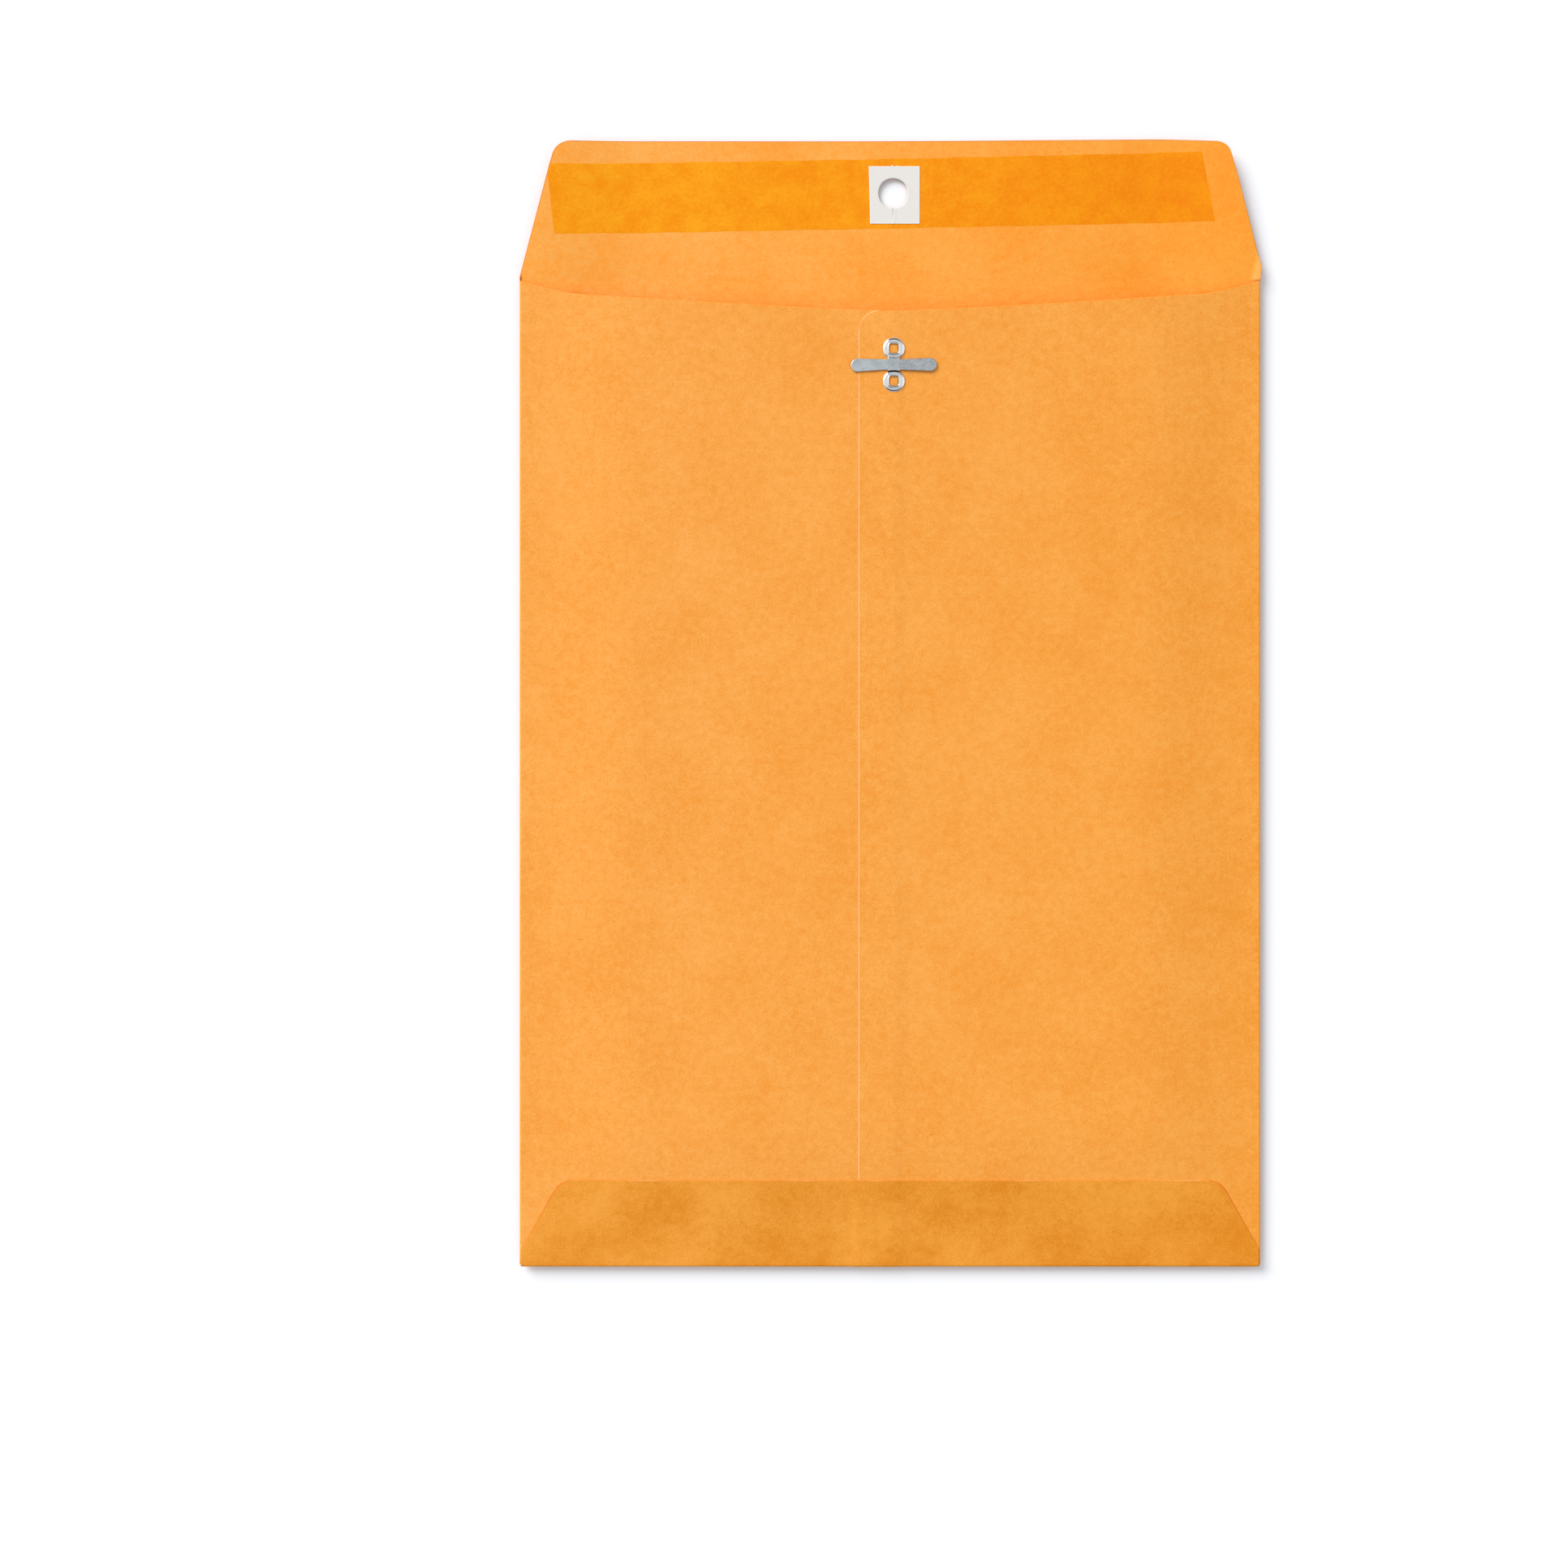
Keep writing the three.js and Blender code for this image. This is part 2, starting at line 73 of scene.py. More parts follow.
# The seal flap, its gum, and the patch round its hole
FLAP_HEIGHT = 43.2
FLAP_BASE_WIDTH = 230.2
FLAP_SLANT = math.radians(15.1)
FLAP_SPRING = math.radians(3.4)
FLAP_LEFT_CORNER = 6
FLAP_RIGHT_CORNER = 4.5
GUM_LENGTH = 203
GUM_WIDTH = 22.2
GUM_TILT = math.radians(1.1)
GUM_X = -2.8
GUM_ABOVE_CREASE = 26.7
GUM_END_SLANT = 2
HOLE_RADIUS = 9.1 / 2
PATCH_WIDTH = 15.5
PATCH_HEIGHT = 17.6
PATCH_THICKNESS = 0.12
PATCH_SHIFT = (0.45, -0.55)

# The clasp
CLASP_X = 1.05
CLASP_REACH = 26.9
METAL = 0.3
RING_RADIUS = 6.8 / 2
RING_PITCH = 10
NECK_WIDTH = 3.6
BRIDGE_LENGTH = 3.2
BRIDGE_RISE = 0.3
NECK_RUN = 1.1
WING_SPAN = 26.4
WING_ROOT_WIDTH = 3.15
WING_TIP_WIDTH = 4

# Places worked out from the sizes
LAP_RISE = PAPER + GLUE
BOTTOM_EDGE_Y = -(LENGTH + FLAP_HEIGHT) / 2
BOTTOM_FOLD_Y = BOTTOM_EDGE_Y + FOLD_RADIUS + LAP_RISE + PAPER / 2
CREASE_Y = BOTTOM_EDGE_Y + LENGTH
FLAP_TOP_Y = CREASE_Y + FLAP_HEIGHT
FOLD_X = WIDTH / 2 - FOLD_RADIUS - PAPER / 2
UNDERLAP_X = SEAM_X + SEAM_LAP
FULL_RISE = (POCKET_DEPTH + PAPER) / 2
FOLD_Z = FULL_RISE + PAPER / 2
CLASP_Y = CREASE_Y - CLASP_REACH
CLASP_Z = FOLD_Z + FULL_RISE + PAPER / 2 + LAP_RISE
HOLE_Y = CREASE_Y + CLASP_REACH

# Slow waves of the back panels, and how far from the clasp it holds them flat
RIPPLE = 0.16
RIPPLE_RUN = 20
CLASP_STILL = 9
CLASP_STILL_RUN = 25

# The open seal flap lies a little askew, its middle sags, and its right edge and corner curl up
FLAP_SHIFT = 0.55
FLAP_SAG = 0.42
SAG_REACH = 55
EDGE_CURL = 0.6
EDGE_CURL_RUN = 14
EDGE_CURL_CLIMB = 12
CORNER_CURL = 0.42
CORNER_CURL_CLIMB = 1.4
CORNER_LINE_X = 111.1
CORNER_LINE_SLANT = 0.29
CORNER_LINE_REACH = 3.5

# Its top edge falls to the left and droops at the right corner
TILT_START = 100
TOP_TILT = 0.0035
DROOP_START = 80
DROOP_RUN = 22
TOP_DROOP = 1.1

# Its sides draw in to the side folds at the crease
CORNER_DRAW = 0.1
NOTCH_TOP = 0.35
NOTCH_FLOOR = 0.6
TONGUE_OVERHANG = 0.2

# Bands in which the paper's tone differs, painted light and shade: painted shade on the flap's cut
# edges, at the crease's left end and at the throat, and painted highlights on the seam edge, on the
# folds, where the paper also wears, and on the flap's curled corner
EDGE_BAND = 0.3
FOLD_HIGHLIGHT_BAND = 0.25
FOLD_HIGHLIGHT_TONE = 0.8
CUT_EDGE_SHADE = 0.9
UNDERSIDE_CUT_EDGE_SHADE = 0.8
NOTCH_SHADOW_TONE = 2
NOTCH_BAND = (0.8, 1.6)
NOTCH_MIDDLE = 0.2
SEAM_CORNER_HIGHLIGHT = -0.9
THROAT_EDGE_SHADE = 0.3
THROAT_SHADE = 0.5
THROAT_SHADE_BAND = 0.5
THROAT_SHADE_MIDDLE = 0.15
THROAT_SHADE_FADE = 14
CORNER_HIGHLIGHT = 0.16

# How finely the paper is cut into cells, and where it bends at the crease
GRID_STEP = 2.2
GLUE_STEP = 1
FINE_STEP = 0.5
FINE_RUN = 4
LAP_STEP = 0.75
CORNER_LINES = 11
FOLD_STEPS = 14
CREASE_BAND = 3
CREASE_STEP = 0.25
TONGUE = 13
JOIN_Y = CREASE_Y - TONGUE
# Cells beside a join are this narrow, so that the tilted normals at its wall don't show
JOIN = 0.01


# Meshes

def sheet_shell(upper, lower, kept=None, tone=0.0, lower_tone=0.0):
    """Closed skin of a sheet, from two grids of points that run alike.

    Each kept cell gives a quad on both faces, and each cell side that has one kept neighbour
    gives a quad of the wall. Finishes are 0 on the upper face, 1 on the lower, 2 on the wall.
    Each face has its own tone, by which a finish goes darker or lighter.
    """
    rows, columns = upper.shape[:2]
    if kept is None:
        kept = np.ones((rows - 1, columns - 1), bool)
    up = np.arange(rows * columns).reshape(rows, columns)
    low = up + rows * columns

    def strip(cells, a, b, c, d):
        r, k = np.nonzero(cells)
        corners = [grid[r + dr, k + dk] for grid, dr, dk in (a, b, c, d)]
        return np.stack(corners, axis=1)

    padded = np.pad(kept, 1)
    over, under = padded[1:, 1:-1], padded[:-1, 1:-1]
    right, left = padded[1:-1, 1:], padded[1:-1, :-1]
    faces = [
        strip(kept, (up, 0, 0), (up, 0, 1), (up, 1, 1), (up, 1, 0)),
        strip(kept, (low, 0, 0), (low, 1, 0), (low, 1, 1), (low, 0, 1)),
        strip(over & ~under, (low, 0, 0), (low, 0, 1), (up, 0, 1), (up, 0, 0)),
        strip(under & ~over, (up, 0, 0), (up, 0, 1), (low, 0, 1), (low, 0, 0)),
        strip(right & ~left, (up, 0, 0), (up, 1, 0), (low, 1, 0), (low, 0, 0)),
        strip(left & ~right, (low, 0, 0), (low, 1, 0), (up, 1, 0), (up, 0, 0)),
    ]
    finish = np.repeat([0, 1, 2, 2, 2, 2], [len(part) for part in faces])
    points = np.concatenate([upper.reshape(-1, 3), lower.reshape(-1, 3)])
    tones = [np.broadcast_to(part, (rows, columns)).ravel() for part in (tone, lower_tone)]
    return points, np.concatenate(faces), finish, np.concatenate(tones)


def ring_shell(points, tone):
    """Closed skin of a profile carried round a loop: the grid closes on itself both ways."""
    turns, around = points.shape[:2]
    index = np.arange(turns * around).reshape(turns, around)
    next_turn = np.roll(index, -1, axis=0)
    corners = [index, next_turn, np.roll(next_turn, -1, axis=1), np.roll(index, -1, axis=1)]
    faces = np.stack(corners, axis=-1).reshape(-1, 4)
    tones = np.broadcast_to(tone, (turns, around)).ravel()
    return points.reshape(-1, 3), faces, np.zeros(len(faces), int), tones


def add_object(name, data):
    """Puts a mesh, a lamp or a camera into the scene."""
    thing = bpy.data.objects.new(name, data)
    bpy.context.scene.collection.objects.link(thing)
    return thing


def add_piece(name, shells, finishes, node):
    """One object from closed shells in millimetres. It stands for a CAD node, which it hides."""
    starts = np.cumsum([0] + [len(shell[0]) for shell in shells[:-1]])
    points = np.concatenate([shell[0] for shell in shells]) * MM
    faces = np.concatenate([shell[1] + start for shell, start in zip(shells, starts)])
    mesh = bpy.data.meshes.new(name)
    mesh.from_pydata(points.tolist(), [], faces.tolist())
    for finish in finishes:
        mesh.materials.append(finish)
    finish_of_face = np.concatenate([shell[2] for shell in shells]).astype(np.int32)
    mesh.polygons.foreach_set("material_index", np.minimum(finish_of_face, len(finishes) - 1))
    mesh.polygons.foreach_set("use_smooth", finish_of_face < 2)
    tone = mesh.attributes.new("tone", "FLOAT", "POINT")
    tone.data.foreach_set("value", np.concatenate([shell[3] for shell in shells]).astype(np.float32))
    mesh.update()
    piece = add_object(name, mesh)
    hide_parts(node)
    return piece


# How the paper lies

def crown(distance, run):
    """Half a cosine wave, from 0 at the flat lip beside a fold to 1 where the run ends."""
    share = np.clip((distance - FOLD_LIP) / (run - FOLD_LIP), 0, 1)
    return (1 - np.cos(np.pi * share)) / 2


def rise(x, y):
    """Height of a panel's middle surface off the fold line: the side crown times the foot crown."""
    pillow = crown(FOLD_X - np.abs(x), SIDE_CROWN) * crown(y - BOTTOM_FOLD_Y, FOOT_CROWN)
    return FOLD_RADIUS + (FULL_RISE - FOLD_RADIUS) * pillow


def lap_lift(x, covers_seam_edge):
    """Lift over the seam: a ramp up past the right panel's edge, and down past the hidden edge."""
    climb = (x - SEAM_X) / SEAM_RAMP + 1 if covers_seam_edge else 1
    fall = 1 - (x - UNDERLAP_X) / SEAM_RAMP
    return LAP_RISE * np.clip(np.minimum(climb, fall), 0, 1)


def ripple(x, y):
    """Slow waves of paper that has been handled: crossing sines, 100 to 400 mm long, that die out
    at the folds and round the clasp, where the metal holds the paper flat."""
    slow = np.sin(x / 17 + y / 41 + 0.8) * np.sin(y / 23 - x / 67)
    cross = 0.7 * np.sin((x + 2 * y) / 29 + 2) + 0.5 * np.sin((2 * x - y) / 37)
    free = crown(FOLD_X - np.abs(x), RIPPLE_RUN) * crown(y - BOTTOM_FOLD_Y, RIPPLE_RUN)
    from_clasp = np.hypot(x - CLASP_X, y - CLASP_Y)
    return RIPPLE * (slow + cross) * free * np.clip((from_clasp - CLASP_STILL) / CLASP_STILL_RUN, 0, 1)


def past_corner_line(x, height):
    """How far a point lies past the line across the flap's right corner, by its crease."""
    return np.clip(x - CORNER_LINE_X - CORNER_LINE_SLANT * np.abs(height), 0, CORNER_LINE_REACH)


def flap_curl(x, y):
    """Lift of the flap's right edge, and of its corner at the crease's end: the side fold draws up
    a small triangle of paper there, which slopes from a line across the corner."""
    height = y - CREASE_Y
    edge = FLAP_BASE_WIDTH / 2 + FLAP_SHIFT - height * math.tan(FLAP_SLANT)
    along_edge = EDGE_CURL * np.clip((x - edge) / EDGE_CURL_RUN + 1, 0, 1.1) ** 2
    along_edge = along_edge * np.clip(height / EDGE_CURL_CLIMB, 0, 1)
    at_corner = CORNER_CURL * past_corner_line(x, height)
    return along_edge + at_corner * np.clip(height / CORNER_CURL_CLIMB + 1, 0, 1)


def front_under(x, y):
    """Underside of the front panel and of the open seal flap, which is the same sheet. The flap
    springs up at its crease, and by a share of that its middle sags back to the table."""
    sag = FLAP_SAG * np.exp(-((x - CLASP_X) / SAG_REACH) ** 2)
    spring = np.clip(y - CREASE_Y, 0, None) * math.tan(FLAP_SPRING) * (1 - sag)
    return FOLD_Z - rise(x, y) - PAPER / 2 + spring + flap_curl(x, y)


def left_under(x, y):
    return FOLD_Z + rise(x, y) - PAPER / 2 + ripple(x, y)


def right_under(x, y):
    return left_under(x, y) + lap_lift(x, False)


def bottom_glue_under(x, y):
    return left_under(x, y) + PAPER + lap_lift(x, True)


def bottom_flap_under(x, y):
    return bottom_glue_under(x, y) + GLUE


def surface(x, y, under, lift=0.0):
    """A grid of points, a lift above an underside."""
    return np.stack([x, y, under(x, y) + lift], axis=-1)


def flat_sheet(x, y, thickness, under, kept=None, tone=0.0, lower_tone=0.0):
    """A sheet of one thickness that lies on an underside."""
    upper, lower = surface(x, y, under, thickness), surface(x, y, under)
    return sheet_shell(upper, lower, kept, tone, lower_tone)


def lines(*spans):
    """Grid lines through spans (start, end, step), with shared ends named once."""
    parts = [np.linspace(a, b, max(2, round(abs(b - a) / step) + 1)) for a, b, step in spans]
    return np.concatenate([parts[0]] + [part[1:] for part in parts[1:]])


def rows_to_edge(start, edge, step=GRID_STEP):
    """Rows from a start to an edge that differs by column, with a narrow band along the edge."""
    count = max(2, round(float(np.max(edge) - np.min(start)) / step))
    share = np.linspace(0, 1, count)[:, None]
    inside = start + (edge - EDGE_BAND - start) * share
    return np.concatenate([inside, np.broadcast_to(edge, (1, inside.shape[1]))])


def near(distance, band):
    """1 at an edge, falling to 0 a band's width away from it."""
    return np.clip(1 - np.abs(distance) / band, 0, 1)


def fold_wear_and_highlight(from_edge):
    """How far the paper is painted pale along the outside of a fold: a painted highlight where the
    fold's round meets the light, and the paper's own wear there.
    """
    return FOLD_HIGHLIGHT_TONE * near(from_edge, FOLD_HIGHLIGHT_BAND)


# The panels of the blank

BOTTOM_FINE_X = 94
BOTTOM_ROW_STEP = 1.2
BOTTOM_LEVEL_HALF = 98
BOTTOM_SLANT_MIDDLE = 105
BOTTOM_SLANT_RUN = 8


def throat_edge(x):
    """The throat edge: slanted shoulders and a shallow bow, joined by the smooth lesser of the two."""
    inboard = WIDTH / 2 - np.abs(x)
    shoulder = CORNER_DROP + (SHOULDER_DROP - CORNER_DROP) * inboard / SHOULDER_WIDTH
    across = np.clip(np.abs(x) / (WIDTH / 2 - SHOULDER_WIDTH), 0, 1)
    bow = THROAT_DROP + (SHOULDER_DROP - THROAT_DROP) * across ** THROAT_BOW
    soft = 0.5
    return CREASE_Y - (shoulder + bow - np.sqrt((shoulder - bow) ** 2 + soft ** 2)) / 2


def fold_arc(low, high):
    """Half a circle from a lower panel round the outside to an upper one.

    Gives for each step the distance outward, the height, and the outward normal's two parts.
    """
    angle = np.linspace(0, np.pi, FOLD_STEPS + 1)
    normal_out, normal_up = np.sin(angle), -np.cos(angle)
    radius = (high - low) / 2
    return radius * normal_out, (high + low) / 2 + radius * normal_up, normal_out, normal_up


def back_panel(side, seam_edge, under):
    """One back panel with its side fold: columns run from the fold to the seam edge, and a
    rounded corner joins the throat edge to the seam edge."""
    corner_x = seam_edge + side * SEAM_CORNER
    fan = seam_edge + side * SEAM_CORNER * (1 - np.cos(np.linspace(np.pi / 2, 0, CORNER_LINES)))
    fold_x, beside_fold = side * FOLD_X, side * (FOLD_X - FINE_RUN)
    clear = UNDERLAP_X + SEAM_RAMP if side > 0 else corner_x
    x = np.concatenate([
        lines((fold_x, beside_fold, FINE_STEP), (beside_fold, clear, GRID_STEP)),
        lines((clear, corner_x, LAP_STEP))[1:] if side > 0 else [],
        fan[1:],
    ])
    corner_y = throat_edge(corner_x) - SEAM_CORNER
    past_corner = np.clip(side * (corner_x - x), 0, SEAM_CORNER)
    arc = corner_y + np.sqrt(SEAM_CORNER ** 2 - past_corner ** 2)
    edge = np.where(past_corner > 0, arc, throat_edge(x))
    y = rows_to_edge(BOTTOM_FOLD_Y, edge)
    x = np.broadcast_to(x, y.shape)
    panel = [surface(x, y, under, PAPER), surface(x, y, under)]
    out, z, normal_x, normal_z = fold_arc(FOLD_Z - FOLD_RADIUS, FOLD_Z + FOLD_RADIUS)
    fold_y = np.broadcast_to(y[:, :1], (len(y), FOLD_STEPS))
    faces = []
    for face, lift in zip(panel, (PAPER / 2, -PAPER / 2)):
        fold_x = side * (FOLD_X + out + lift * normal_x)[:-1]
        fold_z = (z + lift * normal_z)[:-1]
        fold = np.stack(np.broadcast_arrays(fold_x, fold_y, fold_z), axis=-1)
        faces.append(np.concatenate([fold, face], axis=1)[:, :: -side])
    # Painted highlight along the seam edge and its round corner, where the cut edge faces the light
    tone = -near(faces[0][..., 0] - seam_edge, EDGE_BAND)
    # Painted highlight, with some wear, along the outside of the side fold
    tone -= fold_wear_and_highlight(side * faces[0][..., 0] - WIDTH / 2)
    in_corner = side * (corner_x - faces[0][-1, :, 0]) > 0
    # Painted shade on the throat edge's last row, for the shadow under that edge
    tone[-1] = np.where(in_corner, SEAM_CORNER_HIGHLIGHT, THROAT_EDGE_SHADE)
    return sheet_shell(*faces, tone=tone)


def bottom_flap_edge(x):
    """Top edge of the bottom flap: level, then a round corner, then a slanted side."""
    base = WIDTH / 2 - BOTTOM_FLAP_INSET
    sin, cos = math.sin(BOTTOM_FLAP_SLANT), math.cos(BOTTOM_FLAP_SLANT)
    centre_height = BOTTOM_FLAP_HEIGHT - BOTTOM_FLAP_CORNER
    reach = BOTTOM_FLAP_CORNER + (centre_height - BOTTOM_FLAP_SIDE) * sin
    centre = base - reach / cos
    past = np.clip(np.abs(x) - centre, 0, BOTTOM_FLAP_CORNER * cos)
    arc = centre_height + np.sqrt(BOTTOM_FLAP_CORNER ** 2 - past ** 2)
    slant = BOTTOM_FLAP_SIDE + (base - np.abs(x)) * cos / sin
    return BOTTOM_EDGE_Y + np.minimum(arc, slant)


def bottom_flap_edge_shade(x):
    """Painted shade just inside the bottom flap's cut edge and on it, where its lifted edge throws a
    shadow: dark on the slanted sides, most so in their middle, and on the level stretch a line that
    two slow sines break into painted shade and highlight."""
    slanted = 0.4 * near(np.abs(x) - BOTTOM_SLANT_MIDDLE, BOTTOM_SLANT_RUN)
    broken = 0.15 + 0.5 * np.sin(x / 5.3) * np.sin(x / 13 + 1)
    return slanted, np.where(np.abs(x) > BOTTOM_LEVEL_HALF, 0.8 + slanted, broken)


def bottom_flap():
    """The bottom flap with its fold: rows run round the fold and up to the flap's edge."""
    half = WIDTH / 2 - BOTTOM_FLAP_INSET
    seam = SEAM_X - SEAM_RAMP, UNDERLAP_X + SEAM_RAMP
    x = lines(
        (-half, -BOTTOM_FINE_X, FINE_STEP), (-BOTTOM_FINE_X, seam[0], GRID_STEP), (*seam, LAP_STEP),
        (seam[1], BOTTOM_FINE_X, GRID_STEP), (BOTTOM_FINE_X, half, FINE_STEP),
    )
    y = rows_to_edge(BOTTOM_FOLD_Y, bottom_flap_edge(x), BOTTOM_ROW_STEP)
    wide = np.broadcast_to(x, y.shape)
    panel = [surface(wide, y, bottom_flap_under, PAPER), surface(wide, y, bottom_flap_under)]
    low = front_under(x, BOTTOM_FOLD_Y) + PAPER / 2
    high = bottom_flap_under(x, BOTTOM_FOLD_Y) + PAPER / 2
    sections = [fold_arc(a, b) for a, b in zip(low, high)]
    out, z, normal_y, normal_z = np.array(sections).transpose(1, 2, 0)[:, :-1]
    faces = []
    for face, lift in zip(panel, (PAPER / 2, -PAPER / 2)):
        fold_y = BOTTOM_FOLD_Y - out - lift * normal_y
        fold = np.stack([np.broadcast_to(x, out.shape), fold_y, z + lift * normal_z], axis=-1)
        faces.append(np.concatenate([fold, face]))
    # Painted highlight, with some wear, along the outside of the bottom fold
    tone = -fold_wear_and_highlight(faces[0][..., 1] - BOTTOM_EDGE_Y)
    # Painted shade along the bottom flap's cut edge
    beside_edge, at_edge = bottom_flap_edge_shade(x)
    tone[-2] += beside_edge
    tone[-1] = at_edge
    return sheet_shell(*faces, tone=tone)


def front_panel():
    """The address side, up to a join that the back panels hide."""
    beside_fold = FOLD_X - FINE_RUN
    x = lines(
        (-FOLD_X, JOIN - FOLD_X, JOIN), (JOIN - FOLD_X, -beside_fold, FINE_STEP),
        (-beside_fold, beside_fold, GRID_STEP),
        (beside_fold, FOLD_X - JOIN, FINE_STEP), (FOLD_X - JOIN, FOLD_X, JOIN),
    )
    y = lines(
        (BOTTOM_FOLD_Y, BOTTOM_FOLD_Y + JOIN, JOIN),
        (BOTTOM_FOLD_Y + JOIN, JOIN_Y - JOIN, GRID_STEP),
        (JOIN_Y - JOIN, JOIN_Y, JOIN),
    )
    x, y = np.meshgrid(x, y)
    return flat_sheet(x, y, PAPER, front_under)


def seam_glue():
    """The line of paste under the right panel's seam edge."""
    left = SEAM_X + SEAM_GLUE_INSET
    x = lines((left, left + SEAM_GLUE_WIDTH, GLUE_STEP))
    y = lines((BOTTOM_FOLD_Y + BOTTOM_GLUE_INSET, CREASE_Y - THROAT_DROP - SEAM_CORNER, GRID_STEP))
    x, y = np.meshgrid(x, y)
    return flat_sheet(x, y, GLUE, lambda x, y: left_under(x, y) + PAPER)


def bottom_glue():
    """The band of paste under the bottom flap."""
    slanted = (BOTTOM_FLAP_HEIGHT - BOTTOM_FLAP_SIDE) * math.tan(BOTTOM_FLAP_SLANT)
    half = WIDTH / 2 - BOTTOM_FLAP_INSET - slanted - BOTTOM_GLUE_INSET
    x = lines((-half, half, GLUE_STEP))
    top = BOTTOM_EDGE_Y + BOTTOM_FLAP_HEIGHT - BOTTOM_GLUE_INSET
    y = lines((BOTTOM_FOLD_Y + BOTTOM_GLUE_INSET, top, GRID_STEP))
    x, y = np.meshgrid(x, y)
    return flat_sheet(x, y, GLUE, bottom_glue_under)


# The seal flap and what is stuck to it

# The paper's hole lies in a square block of even cells, and is a little wider than the patch's
HOLE_BLOCK = 7
HOLE_LINES = np.linspace(-HOLE_BLOCK, HOLE_BLOCK, 33)
HOLE_BACKSET = 0.06
FLAP_EVEN_X = 90
FLAP_STEP = 1
TONGUE_STEP = 1.5
TOP_LINES = 16
SIDE_SHARES = np.concatenate([[0], np.linspace(0.015, 1, 35)])

# The gum thins and sinks into the paper along its edges, and leaves out a square under the patch
GUM_FADE = 0.8
GUM_SKIN = 0.02
GUM_CUT_SLANT = 1.9
GUM_BACKSET = 0.15
GUM_WINDOW = 6

# The patch leans at its left side, is frayed along its top, and has a bent slit at its foot
PATCH_LEAN = 0.22
PATCH_FRAY = 0.06
PATCH_TUFTS = [
    # place from the hole, half width, height
    (-0.3, 0.25, 0.6), (1.3, 0.5, 0.2),
]
SLIT = 0.005
SLIT_BEND = 0.8
SLIT_LIP = 0.1


def outside_square(x, y, half):
    """Which cells of a grid have their middle outside a square about the hole."""
    middle_x = (x[:-1, :-1] + x[1:, 1:]) / 2 - CLASP_X
    middle_y = (y[:-1, :-1] + y[1:, 1:]) / 2 - HOLE_Y
    return np.maximum(np.abs(middle_x), np.abs(middle_y)) > half


def round_hole(x, y):
    """Draws the grid lines round the hole: the square half as wide as the block goes to the hole's
    circle, and the lines from there to the block's rim are spread evenly. Square is the size of
    the square through a point, from 0 in the middle to 1 at the rim."""
    from_x, from_y = x - CLASP_X, y - HOLE_Y
    square = np.maximum(np.abs(from_x), np.abs(from_y)) / HOLE_BLOCK
    inside = (square < 1) & (square > 0.49)
    share = np.clip((square - 0.5) * 2, 0, 1)
    safe = np.maximum(square, 0.25)
    length = np.maximum(np.hypot(from_x, from_y), 1e-6)
    radius = HOLE_RADIUS + HOLE_BACKSET
    new_x = (1 - share) * radius * from_x / length + share * from_x / safe
    new_y = (1 - share) * radius * from_y / length + share * from_y / safe
    return np.where(inside, CLASP_X + new_x, x), np.where(inside, HOLE_Y + new_y, y)


def flap_side(y, side, corner):
    """Side of the seal flap: a slanted line, then a round corner to the level top edge. At the
    crease it draws in to the side fold, and inside the throat it keeps clear of the fold."""
    base, sin, cos = FLAP_BASE_WIDTH / 2, math.sin(FLAP_SLANT), math.cos(FLAP_SLANT)
    height = y - CREASE_Y
    line = base - height * sin / cos
    centre_height = FLAP_HEIGHT - corner
    centre = base - (corner + centre_height * sin) / cos
    past = np.clip(height - centre_height, 0, corner)
    arc = centre + np.sqrt(corner ** 2 - past ** 2)
    half = np.where(height > centre_height + corner * sin, arc, line) + side * FLAP_SHIFT
    drawn_in = WIDTH / 2 + CORNER_DRAW * np.clip(height - NOTCH_TOP, 0, None)
    half = np.minimum(half, drawn_in)
    return side * np.where(height < -NOTCH_FLOOR, FOLD_X + TONGUE_OVERHANG, half)


def flap_rows():
    """The flap's rows, from the tongue's join to the top edge: close at the crease, even through
    the hole's block, and ever closer in the round corners."""
    corner = FLAP_TOP_Y - FLAP_LEFT_CORNER * (1 - np.sin(np.linspace(0, np.pi / 2, TOP_LINES)))
    tongue = (JOIN_Y, JOIN_Y + JOIN, JOIN), (JOIN_Y + JOIN, CREASE_Y - CREASE_BAND, TONGUE_STEP)
    crease = CREASE_Y - CREASE_BAND, CREASE_Y + CREASE_BAND, CREASE_STEP
    below_hole = CREASE_Y + CREASE_BAND, HOLE_Y - HOLE_BLOCK, FLAP_STEP
    above_hole = HOLE_Y + HOLE_BLOCK, corner[0], FLAP_STEP
    return np.concatenate([
        lines(*tongue, crease, below_hole)[:-1], HOLE_Y + HOLE_LINES,
        lines(above_hole)[1:], corner[1:],
    ])


def flap_columns(left, right):
    """The flap's columns in each row: upright in the middle, and beside them spread out to the
    slanted sides, with a narrow band along each side."""
    even = np.concatenate([
        lines((-FLAP_EVEN_X, CLASP_X - HOLE_BLOCK, GRID_STEP))[:-1], CLASP_X + HOLE_LINES,
        lines((CLASP_X + HOLE_BLOCK, FLAP_EVEN_X, GRID_STEP))[1:],
    ])
    return np.concatenate([
        (left + (even[0] - left) * SIDE_SHARES)[:, :-1],
        np.broadcast_to(even, (len(left), len(even))),
        (right + (even[-1] - right) * SIDE_SHARES)[:, -2::-1],
    ], axis=1)


def uneven_top(x, y):
    """Lowers the flap above the hole, most at its top edge: straight to the left, and at the right
    corner by a droop that grows as the 1.5th power of the way."""
    top_share = np.clip((y - HOLE_Y - HOLE_BLOCK) / (FLAP_TOP_Y - HOLE_Y - HOLE_BLOCK), 0, 1)
    droop = TOP_DROOP * np.clip((x - DROOP_START) / DROOP_RUN, 0, 1.2) ** 1.5
    return y - (TOP_TILT * np.clip(TILT_START - x, 0, None) + droop) * top_share


